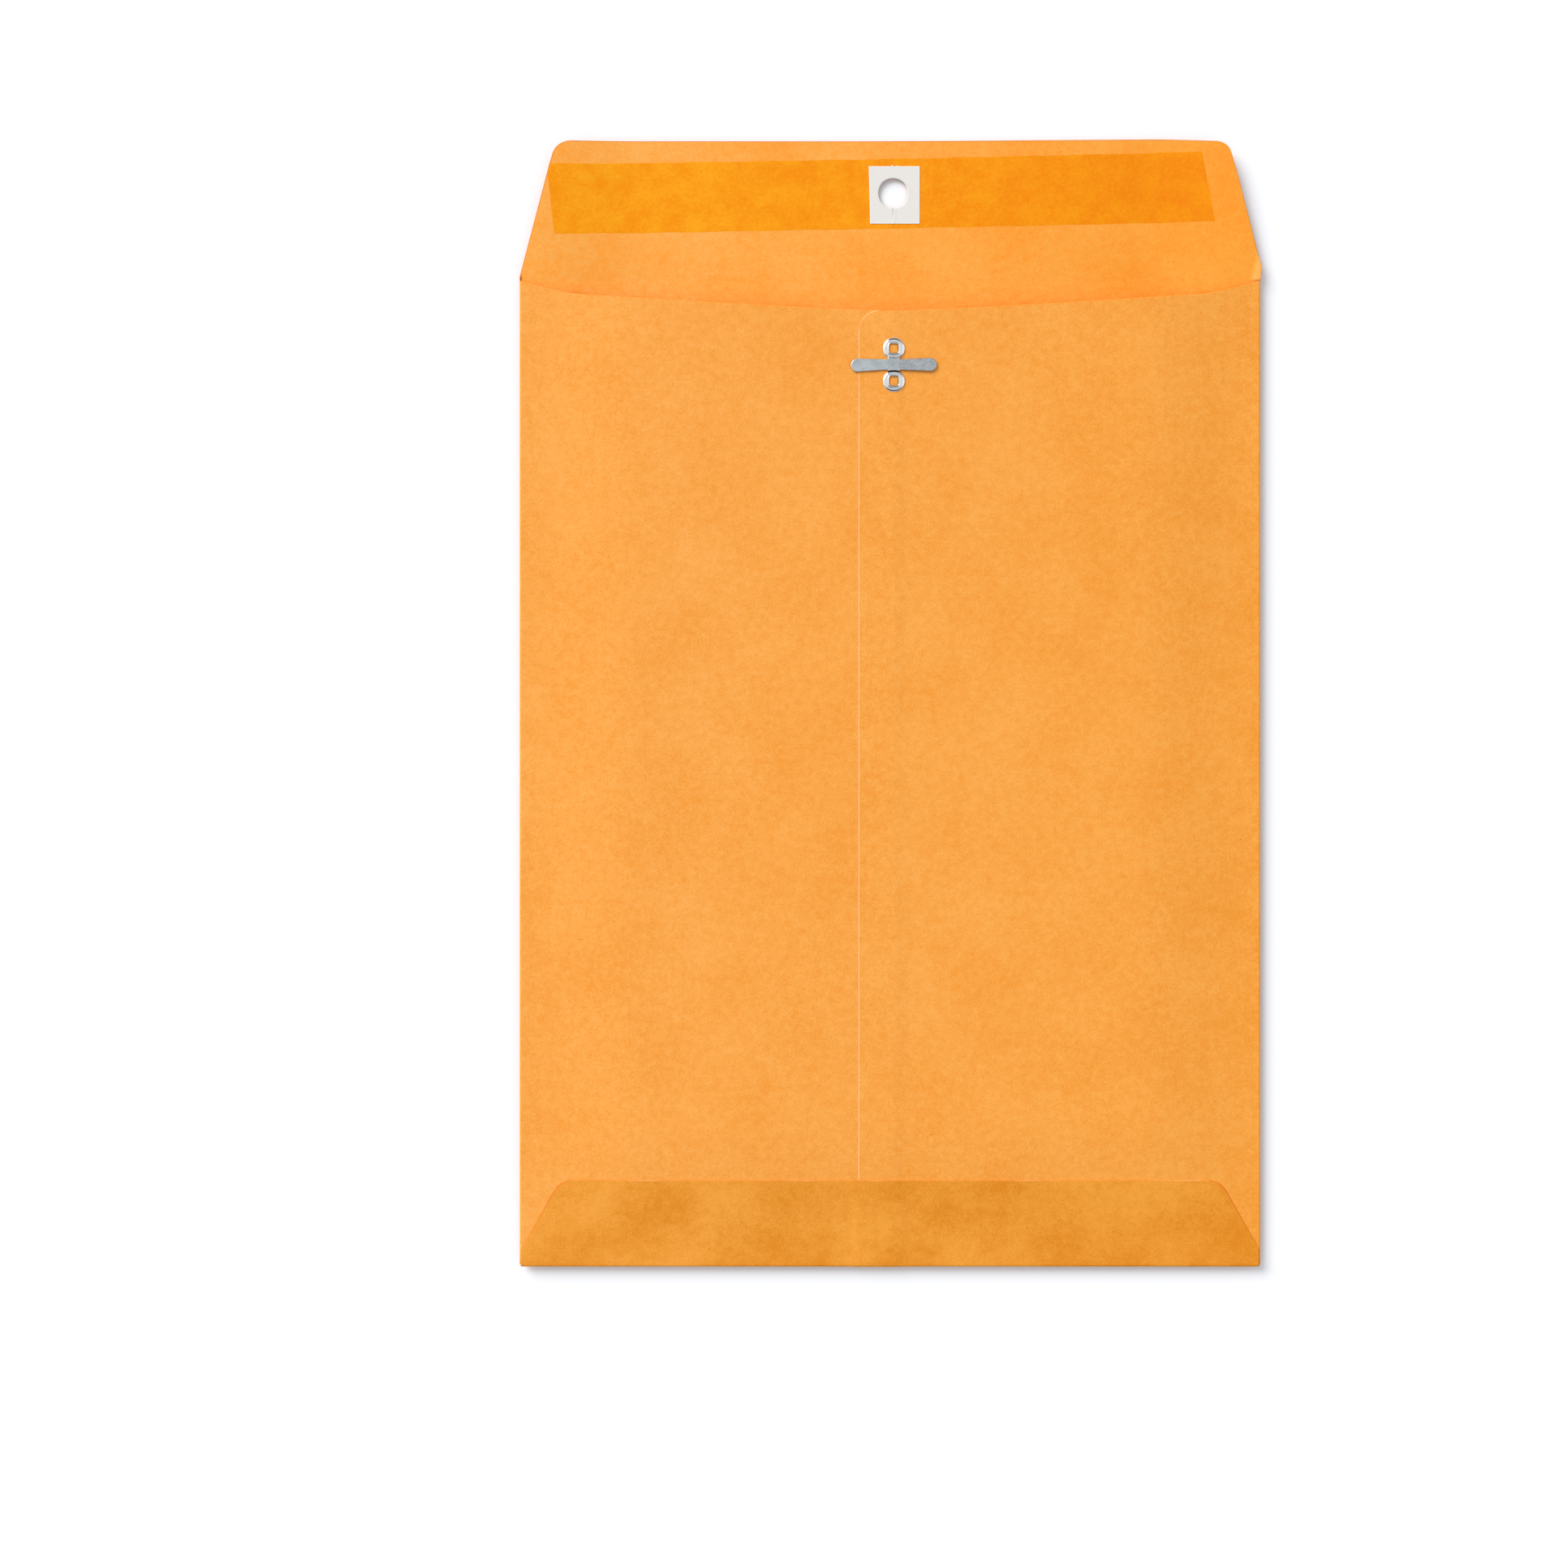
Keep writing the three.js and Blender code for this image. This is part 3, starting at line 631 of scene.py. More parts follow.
def throat_shade(x, y):
    """The dark line on the sheet under the throat edge, which fades out towards the sides."""
    line = near(y - throat_edge(x) - THROAT_SHADE_MIDDLE, THROAT_SHADE_BAND)
    return THROAT_SHADE * line * np.clip((FOLD_X - np.abs(x)) / THROAT_SHADE_FADE, 0, 1)


def seal_flap():
    """The seal flap, with a tongue that goes on below the crease to the front panel's join."""
    rows = flap_rows()[:, None]
    left = flap_side(rows, -1, FLAP_LEFT_CORNER)
    x = flap_columns(left, flap_side(rows, 1, FLAP_RIGHT_CORNER))
    y = np.broadcast_to(rows, x.shape)
    # Painted shade along the flap's top and left cut edges, on both faces, for the shadow of the
    # paper's thickness
    shaded_cut_edge = np.maximum(near(y - FLAP_TOP_Y, EDGE_BAND), near(x - left, EDGE_BAND))
    # Painted shadow at the crease's left end, where the side fold's open end lies in shade
    notch_shadow = near(x - left, NOTCH_BAND[0]) * near(y - CREASE_Y - NOTCH_MIDDLE, NOTCH_BAND[1])
    kept = outside_square(x, y, HOLE_BLOCK / 2)
    x, y = round_hole(x, y)
    y = uneven_top(x, y)
    # Painted highlight on the small triangle that curls up at the flap's right corner and faces the
    # light
    corner_highlight = CORNER_HIGHLIGHT * np.clip(past_corner_line(x, y - CREASE_Y), 0, 1)
    tone = np.maximum(CUT_EDGE_SHADE * shaded_cut_edge, NOTCH_SHADOW_TONE * notch_shadow) + throat_shade(x, y) - corner_highlight
    return flat_sheet(x, y, PAPER, front_under, kept, tone, UNDERSIDE_CUT_EDGE_SHADE * shaded_cut_edge)


def flap_gum():
    """The gum strip, laid on a little askew: its left end runs out to the flap's die-cut side.
    Its tone tells how much gum there is: none at the edge, and all a little way in. The gum has
    soaked into the paper, and the brush has left its long edges wandering in three sines."""
    u = lines((0, 0.005, 0.00125), (0.005, 0.995, 0.006), (0.995, 1, 0.00125))
    v = lines((-1, -0.92, 0.02), (-0.92, 0.92, 0.08), (0.92, 1, 0.02))
    u, v = np.meshgrid(u, v)
    sin, cos = math.sin(GUM_TILT), math.cos(GUM_TILT)
    middle_y = CREASE_Y + GUM_ABOVE_CREASE
    across = v * GUM_WIDTH / 2
    laid = -GUM_LENGTH / 2 - GUM_CUT_SLANT * (v + 1) / 2
    side = flap_side(middle_y + laid * sin + across * cos, -1, FLAP_LEFT_CORNER)
    left = np.maximum(laid, side + GUM_BACKSET - GUM_X)
    right = GUM_LENGTH / 2 - GUM_END_SLANT * v
    along = left + (right - left) * u
    to_edge = np.minimum(np.minimum(u, 1 - u) * GUM_LENGTH, (1 - np.abs(v)) * GUM_WIDTH / 2)
    wander = 0.1 * np.sin(along * 0.31) + 0.06 * np.sin(along * 1.7) + 0.04 * np.sin(along * 4.1)
    across = across + v ** 9 * wander
    x = GUM_X + along * cos - across * sin
    y = middle_y + along * sin + across * cos
    kept = outside_square(x, y, GUM_WINDOW)
    tone = np.clip(to_edge / GUM_FADE, 0, 1)
    skin = surface(x, y, front_under, PAPER + GUM_SKIN * (2 * tone - 1))
    soaked = surface(x, y, front_under, PAPER - 3 * GUM_SKIN)
    return sheet_shell(skin, soaked, kept, tone)


def patch_grid():
    """Grid places u and v on the patch, from -1 to 1: close along its cut edges and the slit, and
    with lines at a half, which go to the hole's circle."""
    left = (-1, -0.95, 0.01), (-0.95, -0.14, 0.045), (-0.14, -SLIT, 0.01)
    right = (SLIT, 0.05, 0.01), (0.05, 0.95, 0.045), (0.95, 1, 0.01)
    u = lines(*left, (-SLIT, SLIT, 2 * SLIT), *right)
    lower = (-1, -0.96, 0.01), (-0.96, -0.5, 0.04)
    upper = (0.5, 0.96, 0.04), (0.96, 1, 0.01)
    v = lines(*lower, (-0.5, 0.5, 0.04), *upper)
    return np.meshgrid(u, v)


def patch_edge(u, v):
    """Place on the patch's outline, from the hole's middle, for a place on the square's rim."""
    x = PATCH_SHIFT[0] + u * PATCH_WIDTH / 2 - PATCH_LEAN * (u < 0) * v
    y = PATCH_SHIFT[1] + v * PATCH_HEIGHT / 2
    fray = PATCH_FRAY * np.sin(x * 9) * np.sin(x * 2.3 + 1)
    tufts = sum(height * near(x - place, half) for place, half, height in PATCH_TUFTS)
    return x, y + np.where(v > 0.99, fray + tufts, 0)


def flap_patch():
    """The patch: lines spread evenly between the hole's circle and the patch's four cut edges. A
    bent slit with a raised right lip runs from the hole to its foot. Its tone is 1 where a cut
    edge shows light, and -1 in the slit's shade."""
    u, v = patch_grid()
    square = np.maximum(np.maximum(np.abs(u), np.abs(v)), 0.25)
    share = np.clip((square - 0.5) * 2, 0, 1)
    length = np.maximum(np.hypot(u, v), 1e-6)
    edge_x, edge_y = patch_edge(u / square, v / square)
    x = CLASP_X + (1 - share) * HOLE_RADIUS * u / length + share * edge_x
    y = HOLE_Y + (1 - share) * HOLE_RADIUS * v / length + share * edge_y
    below = v < -0.49
    x = x - SLIT_BEND * below * share ** 2 * near(u, 0.3)
    middle_u = (u[:-1, :-1] + u[1:, 1:]) / 2
    middle_v = (v[:-1, :-1] + v[1:, 1:]) / 2
    kept = np.maximum(np.abs(middle_u), np.abs(middle_v)) > 0.5
    kept &= (np.abs(middle_u) > SLIT / 2) | (middle_v > 0)
    lip = SLIT_LIP * below * near(u - 0.01, 0.12) * (u > 0)
    # Painted highlight along the cut edges and the slit's lip, and painted shade in the slit
    tone = np.maximum(near(1 - square, 0.03), below * near(u - 0.025, 0.025))
    tone = tone - 0.8 * below * near(u + 0.02, 0.03)
    faces = [surface(x, y, front_under, PAPER + GLUE + lip + lift) for lift in (PATCH_THICKNESS, 0)]
    return sheet_shell(*faces, kept, tone)


# The clasp, worked out about its own middle

RING_PROFILE = [
    # share of the way from the hole to the rim, height: up the torn wall of the hole,
    (-0.12, -0.30), (-0.10, -0.12), (-0.02, 0.22),
    # over the collar that the punch has raised,
    (0.00, 0.34), (0.04, 0.43), (0.08, 0.50), (0.13, 0.50), (0.18, 0.43), (0.23, 0.37), (0.30, 0.37),
    # over the dished face to the rim,
    (0.40, 0.42), (0.50, 0.45), (0.60, 0.44), (0.70, 0.40), (0.80, 0.34), (0.88, 0.27), (0.94, 0.20),
    (0.98, 0.12), (1.00, 0.06), (0.99, 0.02),
    # and back along the underside
    (0.95, 0.00), (0.80, 0.05), (0.60, 0.12), (0.40, 0.10), (0.25, 0.05), (0.16, 0.00), (0.15, -0.30),
]
RING_OPENING = 1.42
RING_TURNS = 96
TOOTH_SECTION = [
    # distance out from the hole's middle, height, half width
    (1.50, 0.10, 0.85), (1.50, -0.10, 0.85), (1.50, -0.35, 0.85), (1.52, -0.47, 0.85),
    (1.62, -0.54, 0.80), (1.80, -0.56, 0.70), (2.20, -0.56, 0.50), (2.75, -0.56, 0.20),
]
NECK_FOOT = 0.1
FILLET = 0.2
FILLET_RUN = 0.16
BRIDGE_DENTS = [
    # depth, place, slant, half height, half width
    (0.05, 0.35, 0.1, 0.14, 0.55), (0.06, -0.25, 0, 0.12, 0.4),
]
BEND_SHADE_Y = -2
DARK_SPOT_Y = 1.95
EDGE_ROUND = 0.12
WING_FINE_X = 2.6
# Lines across the strip, from -1 to 1, close along both its edges
ACROSS = np.sin(np.linspace(-np.pi / 2, np.pi / 2, 29))


def clasp_place(points):
    return points + np.array([CLASP_X, CLASP_Y, CLASP_Z])


def half_metal(to_edge, rounded=True):
    """Half the strip's thickness, of which a rounded edge keeps a half."""
    edge = np.clip(to_edge / EDGE_ROUND, 0, 1)
    return METAL / 2 * (1 - 0.5 * (1 - edge) ** 2 * rounded)


def clasp_ring(ring_y):
    """A dished ring round a pierced hole: its profile swings round the ring's middle, from a
    rounded square at the hole to a circle at the rim. The torn wall of the hole is painted dark:
    painted shade in the hole, and tarnished steel."""
    angle = np.linspace(0, 2 * np.pi, RING_TURNS, endpoint=False)[:, None]
    share, height = np.array(RING_PROFILE).T
    squareness = (np.abs(np.cos(angle)) ** 6 + np.abs(np.sin(angle)) ** 6) ** (-1 / 6)
    radius = RING_OPENING * squareness * (1 - share) + RING_RADIUS * share
    x, y = radius * np.cos(angle), radius * np.sin(angle) + ring_y
    points = np.stack(np.broadcast_arrays(x, y, height), axis=-1)
    # The tone paints the hole's torn wall dark: painted shade, and tarnished steel
    return ring_shell(clasp_place(points), tone=share < 0)


def clasp_bridge():
    """The raised bridge between the wings, and the necks that come down from it to the rings.
    The press has left two dents in its top. Its tone paints a painted shade line in the bend of its
    lower neck, a dark spot on the upper one and a little darkening all over. The lower neck keeps the
    press's polish, and the rest is scuffed."""
    reach = BRIDGE_LENGTH / 2 + NECK_RUN
    y = np.linspace(-reach, reach, 61)[:, None]
    v = ACROSS
    past = np.clip((np.abs(y) - BRIDGE_LENGTH / 2) / NECK_RUN, 0, 1)
    height = NECK_FOOT + (BRIDGE_RISE - NECK_FOOT) * (1 + np.cos(np.pi * past)) / 2
    beside_wing = np.abs(y) - WING_ROOT_WIDTH / 2
    fillet = FILLET * np.exp(-beside_wing / FILLET_RUN) * (beside_wing > 0)
    x = v * (NECK_WIDTH / 2 * (1 + 0.1 * past ** 2) + fillet)
    half = half_metal((1 - np.abs(v)) * NECK_WIDTH / 2, rounded=beside_wing > 0)
    dents = sum(
        depth * np.exp(-((y - place - slant * v) / high) ** 2 - (v / wide) ** 4)
        for depth, place, slant, high, wide in BRIDGE_DENTS
    )
    middle = height + METAL / 2
    upper = np.stack(np.broadcast_arrays(x, y, middle + half - dents), axis=-1)
    lower = np.stack(np.broadcast_arrays(x, y, middle - half), axis=-1)
    # Painted shade in the bend of the lower neck, a dark spot on the upper neck, and a little
    # darkening all over
    line = np.clip(1.8 * near(y - BEND_SHADE_Y + 0.2 * v ** 2, 0.4), 0, 1)
    spot = 0.7 * near(y - DARK_SPOT_Y, 0.35) * near(v, 0.2)
    bend_shade_and_spot = np.clip(0.1 + 0.9 * line + spot, 0, 1)
    points, faces, finish, tone = sheet_shell(clasp_place(upper), clasp_place(lower), tone=bend_shade_and_spot)
    above_bend = points[faces[:, 0], 1] > CLASP_Y - WING_ROOT_WIDTH / 2 - 0.1
    return points, faces, np.where(above_bend, np.maximum(finish, 1), 0), tone


def clinched_tooth(ring_y, turn):
    """A tooth: its leg goes down the hole's side, then bends outwards under the paper to a point."""
    out, height, half_width = np.array(TOOTH_SECTION).T
    along = np.stack([np.gradient(out), np.gradient(height)])
    along = along / np.linalg.norm(along, axis=0)
    v = np.linspace(-1, 1, 7)
    faces = []
    for lift in (METAL / 2, -METAL / 2):
        reach = (out - lift * along[1])[:, None]
        z = (height + lift * along[0])[:, None]
        side = half_width[:, None] * v
        x = reach * math.cos(turn) - side * math.sin(turn)
        y = reach * math.sin(turn) + side * math.cos(turn) + ring_y
        faces.append(clasp_place(np.stack(np.broadcast_arrays(x, y, z), axis=-1)))
    return sheet_shell(faces[1][:, ::-1], faces[0][:, ::-1])


def clasp_plate():
    shells = [clasp_bridge()]
    for ring_y in (RING_PITCH / 2, -RING_PITCH / 2):
        shells.append(clasp_ring(ring_y))
        shells += [clinched_tooth(ring_y, quarter * math.pi / 2) for quarter in range(4)]
    return shells


def clasp_wing(side, droop):
    """A wing: a blade that widens to a round tip. The tip's lines are half squares drawn out to
    half circles, and both faces fall away along the edge, which the press has rounded."""
    root = NECK_WIDTH / 2
    tip = WING_TIP_WIDTH / 2
    straight = WING_SPAN / 2 - tip
    along = lines(
        (root, root + JOIN, JOIN), (root + JOIN, WING_FINE_X, 0.06), (WING_FINE_X, straight, 0.35),
    )[:, None]
    half = WING_ROOT_WIDTH / 2 + (tip - WING_ROOT_WIDTH / 2) * (along - root) / (straight - root)
    blade = np.broadcast_arrays(along, half * ACROSS, half * (1 - np.abs(ACROSS)))
    blade = np.stack(blade, axis=-1)
    a, b = np.meshgrid(np.linspace(0, 1, 14)[1:], ACROSS, indexing="ij")
    square = np.maximum(a, np.abs(b))
    ahead = a >= np.abs(b)
    ratio = np.where(ahead, b / np.maximum(a, 1e-9), a / np.maximum(np.abs(b), 1e-9))
    angle = np.where(ahead, ratio * np.pi / 4, np.sign(b) * (np.pi / 2 - ratio * np.pi / 4))
    cap_x = straight + tip * square * np.cos(angle)
    cap = np.stack([cap_x, tip * square * np.sin(angle), tip * (1 - square)], axis=-1)
    x, y, to_edge = np.moveaxis(np.concatenate([blade, cap]), -1, 0)
    y = y - droop * np.clip(x - root, 0, None)
    half = half_metal(to_edge)
    middle = BRIDGE_RISE + METAL / 2
    faces = [np.stack([side * x, y, middle + lift * half], axis=-1) for lift in (1, -1)]
    faces = [clasp_place(face if side < 0 else face[:, ::-1]) for face in faces]
    return sheet_shell(*faces)


# Finishes

def linear(hex_colour):
    """An sRGB hex colour such as #f8a64e as the linear colour that a shader takes."""
    channels = [int(hex_colour[i:i + 2], 16) / 255 for i in (1, 3, 5)]
    curve = [c / 12.92 if c <= 0.04045 else ((c + 0.055) / 1.055) ** 2.4 for c in channels]
    return (*curve, 1.0)


def connect(tree, node, inputs):
    """Gives a node's inputs their values, or the sockets that they read."""
    for name, value in inputs.items():
        if isinstance(value, bpy.types.NodeSocket):
            tree.links.new(value, node.inputs[name])
        else:
            node.inputs[name].default_value = value


def add_node(tree, kind, inputs=None, **settings):
    """Adds a node with its properties and its inputs."""
    node = tree.nodes.new(kind)
    for name, value in settings.items():
        setattr(node, name, value)
    connect(tree, node, inputs or {})
    return node


def new_finish(name):
    """An empty material with its shader, and the object's own coordinates to draw patterns on."""
    material = bpy.data.materials.new(name)
    material.use_nodes = True
    tree = material.node_tree
    shader = tree.nodes["Principled BSDF"]
    place = add_node(tree, "ShaderNodeTexCoord").outputs["Object"]
    return material, tree, shader, place


def noise(tree, place, size_mm, detail=2.0, roughness=0.5, curl=0.0):
    """Soft noise whose blotches are about size_mm across. Curl draws them out into hooked lines."""
    inputs = {"Vector": place, "Scale": 1 / (size_mm * MM)}
    inputs.update({"Detail": detail, "Roughness": roughness, "Distortion": curl})
    return add_node(tree, "ShaderNodeTexNoise", inputs).outputs["Fac"]


def spread(tree, value, low, high, to_low=0.0, to_high=1.0):
    """Stretches the range low to high of a value over another range, and clamps it."""
    inputs = {"Value": value, "From Min": low, "From Max": high, "To Min": to_low, "To Max": to_high}
    return add_node(tree, "ShaderNodeMapRange", inputs).outputs["Result"]


def calculate(tree, operation, *values):
    """One step of arithmetic on values and sockets."""
    node = add_node(tree, "ShaderNodeMath", dict(enumerate(values)), operation=operation)
    return node.outputs[0]


def mix_values(tree, share, first, second):
    """Mixes two values: of the node's many sockets, these are the ones for values."""
    return add_node(tree, "ShaderNodeMix", {0: share, 2: first, 3: second}).outputs[0]


def mix(tree, share, first, second, blend="MIX"):
    """Mixes two colours, by the sockets for colours."""
    inputs = {0: share, 6: first, 7: second}
    return add_node(tree, "ShaderNodeMix", inputs, data_type="RGBA", blend_type=blend).outputs[2]


def tone_of(tree):
    """The tone that each point of the mesh carries."""
    return add_node(tree, "ShaderNodeAttribute", attribute_name="tone").outputs["Fac"]


def emboss(tree, shader, height, depth_mm, strength):
    """Lights a surface as if it had this relief."""
    inputs = {"Height": height, "Distance": depth_mm * MM, "Strength": strength}
    connect(tree, shader, {"Normal": add_node(tree, "ShaderNodeBump", inputs).outputs[0]})


# What the colour is multiplied by at the sheet's right side: painted shade, deeper and redder, where
# the light falls off
RIGHT_SHADE_OUTSIDE = (0.975, 0.955, 0.78, 1)
RIGHT_SHADE_INSIDE = (0.97, 0.86, 0.5, 1)
RIGHT_SHADE_GUM = (0.94, 0.78, 0.2, 1)
RIGHT_SHADE_START = -60
RIGHT_SHADE_END = 110


def shaded_to_right(tree, place, colour, right_side):
    """Multiplies a colour by a share of right_side that grows from left to right: painted shade that
    darkens the right side.
    """
    across = add_node(tree, "ShaderNodeSeparateXYZ", {"Vector": place}).outputs["X"]
    share = spread(tree, across, RIGHT_SHADE_START * MM, RIGHT_SHADE_END * MM)
    return mix(tree, share, colour, right_side, "MULTIPLY")


def kraft_paper(name, pale, deep, cloud_share, right_side):
    """Unbleached kraft dyed golden: long softwood fibres felted on a wire. The eye sees the
    stock's uneven formation as clouds, a fine mottle, curled fibres and a few dark shives."""
    material, tree, shader, place = new_finish(name)
    clouds = noise(tree, place, 24, detail=3)
    mottle = noise(tree, place, 2.4, detail=4, roughness=0.7)
    fibres = noise(tree, place, 0.6, detail=3, roughness=0.65, curl=0.3)
    grain = mix_values(tree, 0.5, mottle, fibres)
    formation = mix_values(tree, cloud_share, grain, clouds)
    stock = mix(tree, spread(tree, formation, 0.395, 0.605), linear(deep), linear(pale))
    # Painted shade that deepens the paper towards the right side
    stock = shaded_to_right(tree, place, stock, right_side)
    cells = add_node(tree, "ShaderNodeTexVoronoi", {"Vector": place, "Scale": 1 / (6 * MM)})
    shive = spread(tree, cells.outputs["Distance"], 0.015, 0.045, 0.4, 0)
    flecked = mix(tree, shive, stock, linear("#8a4f18"))
    tone = tone_of(tree)
    # The tone paints light and shade: towards 0.5 a painted shade of deeper orange, towards 1 a
    # painted brown shadow, and below 0 a painted pale highlight
    orange_shade = mix(tree, spread(tree, tone, 0, 0.5), flecked, linear("#f58c1c"))
    brown_shade = mix(tree, spread(tree, tone, 0.5, 1), orange_shade, linear("#a8500c"))
    highlighted = mix(tree, spread(tree, tone, 0, -1), brown_shade, linear("#ffd8a0"))
    rough = spread(tree, fibres, 0.3, 0.7, 0.74, 0.88)
    connect(tree, shader, {"Base Color": highlighted, "Roughness": rough, "Specular IOR Level": 0.2})
    emboss(tree, shader, grain, 0.05, strength=0.6)
    return material


def cut_edge():
    """The cut edge of kraft: broken fibres, paler and duller than the faces."""
    material, tree, shader, place = new_finish("Kraft paper, die-cut edge")
    colour = mix(tree, noise(tree, place, 0.3), linear("#d58a3c"), linear("#ffc98a"))
    connect(tree, shader, {"Base Color": colour, "Roughness": 0.9})
    return material


def dried_gum():
    """Remoistenable gum brushed on and dried: it soaks the kraft a deep, cloudy orange and leaves
    a thin skin with a low sheen. It thins out at its edges, where the paper shows."""
    material, tree, shader, place = new_finish("Dextrin gum, dried")
    clouds = noise(tree, place, 7, detail=4, roughness=0.6)
    grain = noise(tree, place, 0.9, detail=3, roughness=0.7, curl=0.3)
    film = mix_values(tree, 0.5, clouds, grain)
    gum = mix(tree, spread(tree, film, 0.4, 0.6), linear("#f99200"), linear("#ffa714"))
    ragged = calculate(tree, "ADD", tone_of(tree), film)
    colour = mix(tree, spread(tree, ragged, 0.6, 1.2), linear("#fda648"), gum)
    # Painted shade that deepens the gum towards the right side
    colour = shaded_to_right(tree, place, colour, RIGHT_SHADE_GUM)
    rough = spread(tree, clouds, 0.3, 0.7, 0.5, 0.65)
    connect(tree, shader, {"Base Color": colour, "Roughness": rough, "Specular IOR Level": 0.12})
    emboss(tree, shader, grain, 0.03, strength=0.5)
    return material


def dried_glue():
    """Seam paste, dried between the layers: a hard, yellowish film."""
    material, tree, shader, place = new_finish("Starch paste, dried")
    colour = mix(tree, noise(tree, place, 3), linear("#cfae78"), linear("#e0c08e"))
    connect(tree, shader, {"Base Color": colour, "Roughness": 0.55})
    return material


def patch_paper():
    """Bleached reinforcing paper: off-white, close and hard. Its tone paints a white highlight on the
    lit cut edges and a grey shade in the slit.
    """
    material, tree, shader, place = new_finish("Bleached patch paper")
    fibre = noise(tree, place, 0.5, detail=3, roughness=0.6)
    paper = mix(tree, spread(tree, fibre, 0.3, 0.7), linear("#e6e2dc"), linear("#edeae6"))
    tone = tone_of(tree)
    # Painted highlight on the cut edges that face the light, and painted shade in the slit
    highlighted = mix(tree, spread(tree, tone, 0, 1), paper, linear("#fbfaf9"))
    shaded = mix(tree, spread(tree, tone, 0, -1), highlighted, linear("#b9b4ae"))
    connect(tree, shader, {"Base Color": shaded, "Roughness": 0.75, "Specular IOR Level": 0.3})
    return material


def tin_plate(name, pale, deep, roughness, speck_mm):
    """Tin-plated steel strip, stamped: a bright plate that the tools have scuffed, so that fine
    scratches run across it and grey specks show where the tin has thinned."""
    material, tree, shader, place = new_finish(name)
    drawn = {"Vector": place, "Rotation": (0, 0, 0.9), "Scale": (0.2, 1, 1)}
    across = add_node(tree, "ShaderNodeMapping", drawn).outputs[0]
    scratches = noise(tree, across, speck_mm / 2, detail=2, roughness=0.7)
    specks = noise(tree, place, speck_mm, detail=3, roughness=0.7)
    wear = mix_values(tree, 0.6, scratches, specks)
    clouds = spread(tree, noise(tree, place, 3), 0.35, 0.65, -0.045, 0.045)
    level = calculate(tree, "ADD", wear, clouds)
    plate = mix(tree, spread(tree, level, 0.36, 0.6), linear(deep), linear(pale))
    # The tone paints the plate dark: painted shade in the holes' torn walls and in the bridge's lower
    # bend, tarnished steel, and a dark spot
    colour = mix(tree, tone_of(tree), plate, linear("#4c4541"))
    rough = spread(tree, wear, 0.3, 0.7, roughness + 0.08, roughness - 0.05)
    connect(tree, shader, {"Base Color": colour, "Roughness": rough, "Metallic": 1})
    emboss(tree, shader, wear, 0.01, strength=0.5)
    return material


# Dressing the part

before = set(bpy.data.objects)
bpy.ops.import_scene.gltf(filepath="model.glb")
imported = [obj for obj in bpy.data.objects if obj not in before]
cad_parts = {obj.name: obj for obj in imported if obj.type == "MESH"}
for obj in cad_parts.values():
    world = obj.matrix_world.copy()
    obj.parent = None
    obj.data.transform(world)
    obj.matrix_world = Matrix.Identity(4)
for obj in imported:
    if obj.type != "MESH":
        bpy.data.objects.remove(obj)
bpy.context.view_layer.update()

kraft_outside = kraft_paper("Kraft paper, outside", "#fcae55", "#f39a38", 0.22, RIGHT_SHADE_OUTSIDE)
kraft_pasted = kraft_paper(
    "Kraft paper, outside, pasted down", "#f5a440", "#e1891d", 0.45, RIGHT_SHADE_OUTSIDE,
)
kraft_inside = kraft_paper("Kraft paper, inside", "#ffb458", "#ffa036", 0.3, RIGHT_SHADE_INSIDE)
kraft_edge = cut_edge()
outside_up = [kraft_outside, kraft_inside, kraft_edge]
pasted_up = [kraft_pasted, kraft_inside, kraft_edge]
inside_up = [kraft_inside, kraft_outside, kraft_edge]
paste = dried_glue()
burnished = tin_plate("Tin plate, burnished by the press", "#f0f1f1", "#dcdee0", 0.14, 0.5)
scuffed = tin_plate("Tin plate, scuffed", "#d2d9dc", "#a8b1b6", 0.36, 0.22)
# The same tin plate in darker colours, for the right wing
darker_tin = tin_plate("Tin plate, darker", "#c8ced2", "#929aa0", 0.36, 0.3)

left_back = back_panel(-1, UNDERLAP_X, left_under)
right_back = back_panel(1, SEAM_X, right_under)
envelope_pieces = [
    add_piece("front_panel_paper", [front_panel()], inside_up, "front_panel"),
    add_piece("left_back_paper", [left_back], outside_up, "left_back_panel"),
    add_piece("right_back_paper", [right_back], outside_up, "right_back_panel"),
    add_piece("bottom_flap_paper", [bottom_flap()], pasted_up, "bottom_flap"),
    add_piece("seam_paste", [seam_glue()], [paste], "seam_glue"),
    add_piece("bottom_paste", [bottom_glue()], [paste], "bottom_glue"),
    add_piece("clasp_plate_tin", clasp_plate(), [burnished, scuffed], "clasp_plate"),
]
for piece in envelope_pieces:
    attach(piece, "envelope")

flap_pieces = [
    add_piece("gum_film", [flap_gum()], [dried_gum()], "flap_gum"),
    add_piece("hole_patch", [flap_patch()], [patch_paper()], "flap_patch"),
]
for piece in flap_pieces:
    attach(piece, "flap")

flap_paper = add_piece("seal_flap_paper", [seal_flap()], inside_up, "seal_flap")
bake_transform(flap_paper)

# The left wing droops
LEFT_DROOP = 0.022
for name, side, droop, finish in (("left", -1, LEFT_DROOP, scuffed), ("right", 1, 0, darker_tin)):
    shell = clasp_wing(side, droop)
    wing = add_piece(f"clasp_{name}_wing_tin", [shell], [finish], f"clasp_{name}_wing")
    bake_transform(wing)

# The studio

# The camera looks straight down on what the photo shows, at its scale in pixels per mm
PHOTO_WIDTH = 1932
PHOTO_SCALE = 3.992
VIEW_CENTRE = (-32.7 * MM, -25.0 * MM)
VIEW_HEIGHT = 0.755
VIEW_WIDTH = PHOTO_WIDTH / PHOTO_SCALE * MM
SENSOR = 36

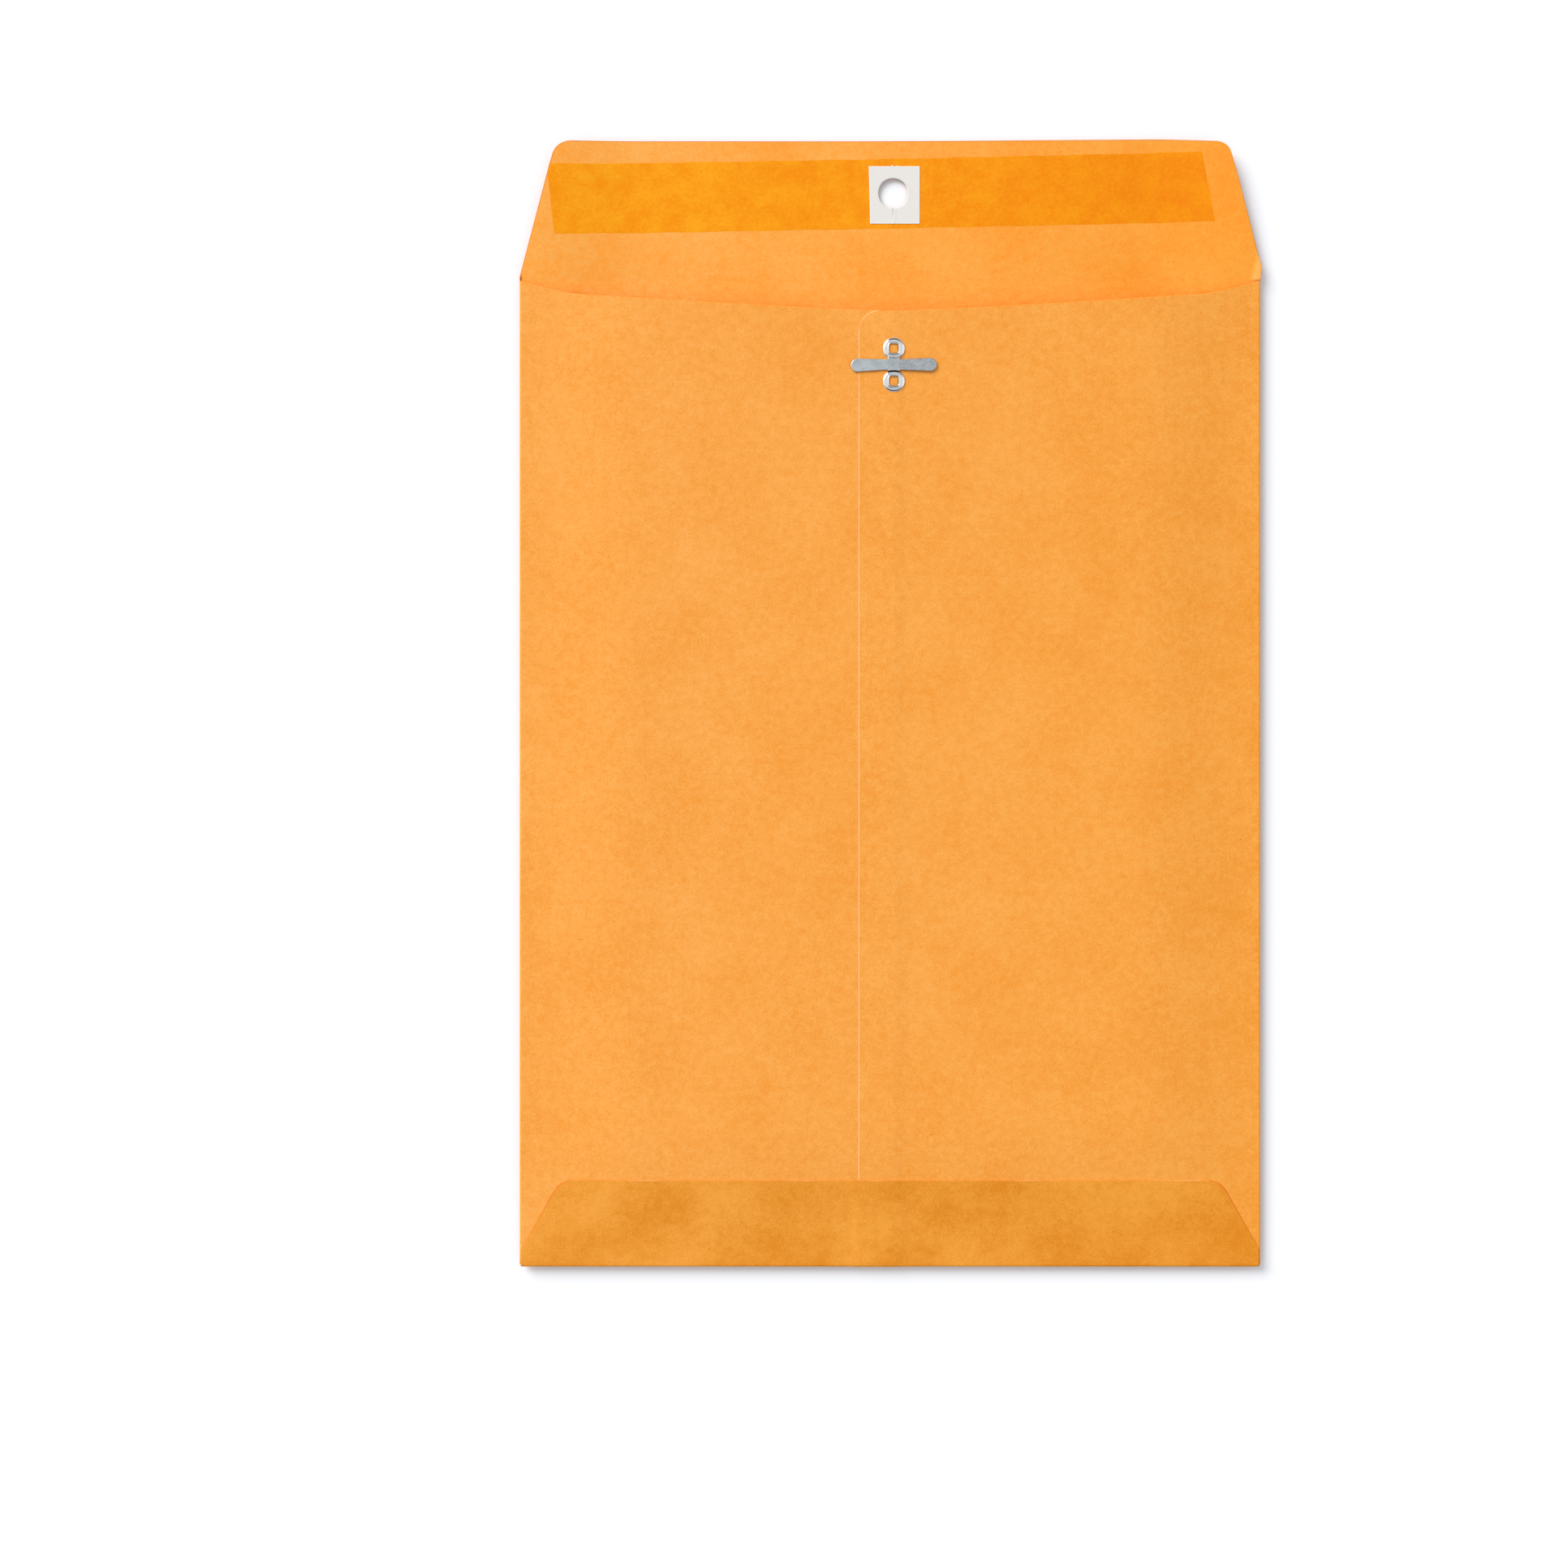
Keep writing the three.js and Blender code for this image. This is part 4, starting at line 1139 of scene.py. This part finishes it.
camera_data = bpy.data.cameras.new("camera")
camera_data.sensor_width = SENSOR
camera_data.lens = SENSOR * (VIEW_HEIGHT - FOLD_Z * MM) / VIEW_WIDTH
camera = add_object("camera", camera_data)
camera.location = (*VIEW_CENTRE, VIEW_HEIGHT)
bpy.context.scene.camera = camera

# The lamp, and the room: its light, and what gloss and the camera see of it
KEY_LEVEL = 0.457
KEY_COLOUR = (1.0, 0.985, 0.96)
KEY_WIDTH = math.radians(38)
KEY_HEIGHT_ANGLE = math.radians(36)
KEY_AZIMUTH = math.radians(135)
SKY_LEVEL = 0.595
SKY_TINT = (0.965, 0.98, 1.0)
WHITE = (1, 1, 1, 1)
CEILING = (0.75, 0.75, 0.75, 1)
DARK_ENDS = (0.12, 0.12, 0.13, 1)
# Bands of direction in which the room's greys blend
LAMPS_AHEAD = 0.08
PAST_LAMPS = (0.26, 0.45)
ABOVE_FLOOR = (0.25, 0.5)
BELOW_CEILING = (0.86, 0.97)
FLOOR_LIT = (0.8, 0.8, 0.8, 1)
FLOOR_SHOWN = (1.0, 1.02, 1.06, 1)
FLOOR_HALF = 1.5
FLOOR_LEVEL = -0.02 * MM


def studio_key():
    """One wide soft lamp, far off beyond the upper left corner, set for the share of light that
    it gives to a level surface."""
    lamp = bpy.data.lights.new("key", "SUN")
    lamp.angle = KEY_WIDTH
    lamp.energy = KEY_LEVEL * math.pi / math.sin(KEY_HEIGHT_ANGLE)
    lamp.color = KEY_COLOUR
    key = add_object("key", lamp)
    key.rotation_euler = (0, math.pi / 2 - KEY_HEIGHT_ANGLE, KEY_AZIMUTH)


def seen_directly(tree):
    """1 for rays that show a background: from the camera, off gloss, or through glass."""
    path = add_node(tree, "ShaderNodeLightPath").outputs
    shown = calculate(tree, "MAXIMUM", path["Is Camera Ray"], path["Is Glossy Ray"])
    return calculate(tree, "MAXIMUM", shown, path["Is Transmission Ray"])


def studio_sky():
    """An even, slightly cool fill. It shows white, and lights the object at its own level. Gloss
    also shows the room: a grey ceiling, and dark ends beyond the lamps at the two sides."""
    world = bpy.data.worlds.new("studio")
    bpy.context.scene.world = world
    world.use_nodes = True
    tree = world.node_tree
    direction = add_node(tree, "ShaderNodeTexCoord").outputs["Generated"]
    ahead, up = add_node(tree, "ShaderNodeSeparateXYZ", {"Vector": direction}).outputs[1:]
    from_lamps = calculate(tree, "ABSOLUTE", calculate(tree, "SUBTRACT", ahead, LAMPS_AHEAD))
    ends, above = spread(tree, from_lamps, *PAST_LAMPS), spread(tree, up, *ABOVE_FLOOR)
    room = mix(tree, spread(tree, up, *BELOW_CEILING), WHITE, CEILING)
    room = mix(tree, calculate(tree, "MULTIPLY", ends, above), room, DARK_ENDS)
    path = add_node(tree, "ShaderNodeLightPath").outputs
    shown = mix(tree, path["Is Glossy Ray"], WHITE, room)
    lit = tuple(SKY_LEVEL * channel for channel in SKY_TINT) + (1,)
    colour = mix(tree, seen_directly(tree), lit, shown)
    connect(tree, tree.nodes["Background"], {"Color": colour})


def studio_floor():
    """A white sweep that keeps the object's shadow, and shows as white as the sky beyond it."""
    material, tree, shader, _ = new_finish("White paper sweep")
    tree.nodes.remove(shader)
    colour = mix(tree, seen_directly(tree), FLOOR_LIT, FLOOR_SHOWN)
    diffuse = add_node(tree, "ShaderNodeBsdfDiffuse", {"Color": colour}).outputs[0]
    connect(tree, tree.nodes["Material Output"], {"Surface": diffuse})
    sides = ((-1, -1), (1, -1), (1, 1), (-1, 1))
    corners = [(x * FLOOR_HALF, y * FLOOR_HALF, FLOOR_LEVEL) for x, y in sides]
    mesh = bpy.data.meshes.new("floor")
    mesh.from_pydata(corners, [], [(0, 1, 2, 3)])
    mesh.materials.append(material)
    floor = add_object("floor", mesh)


studio_key()
studio_sky()
studio_floor()
bpy.context.scene.view_settings.view_transform = "Standard"
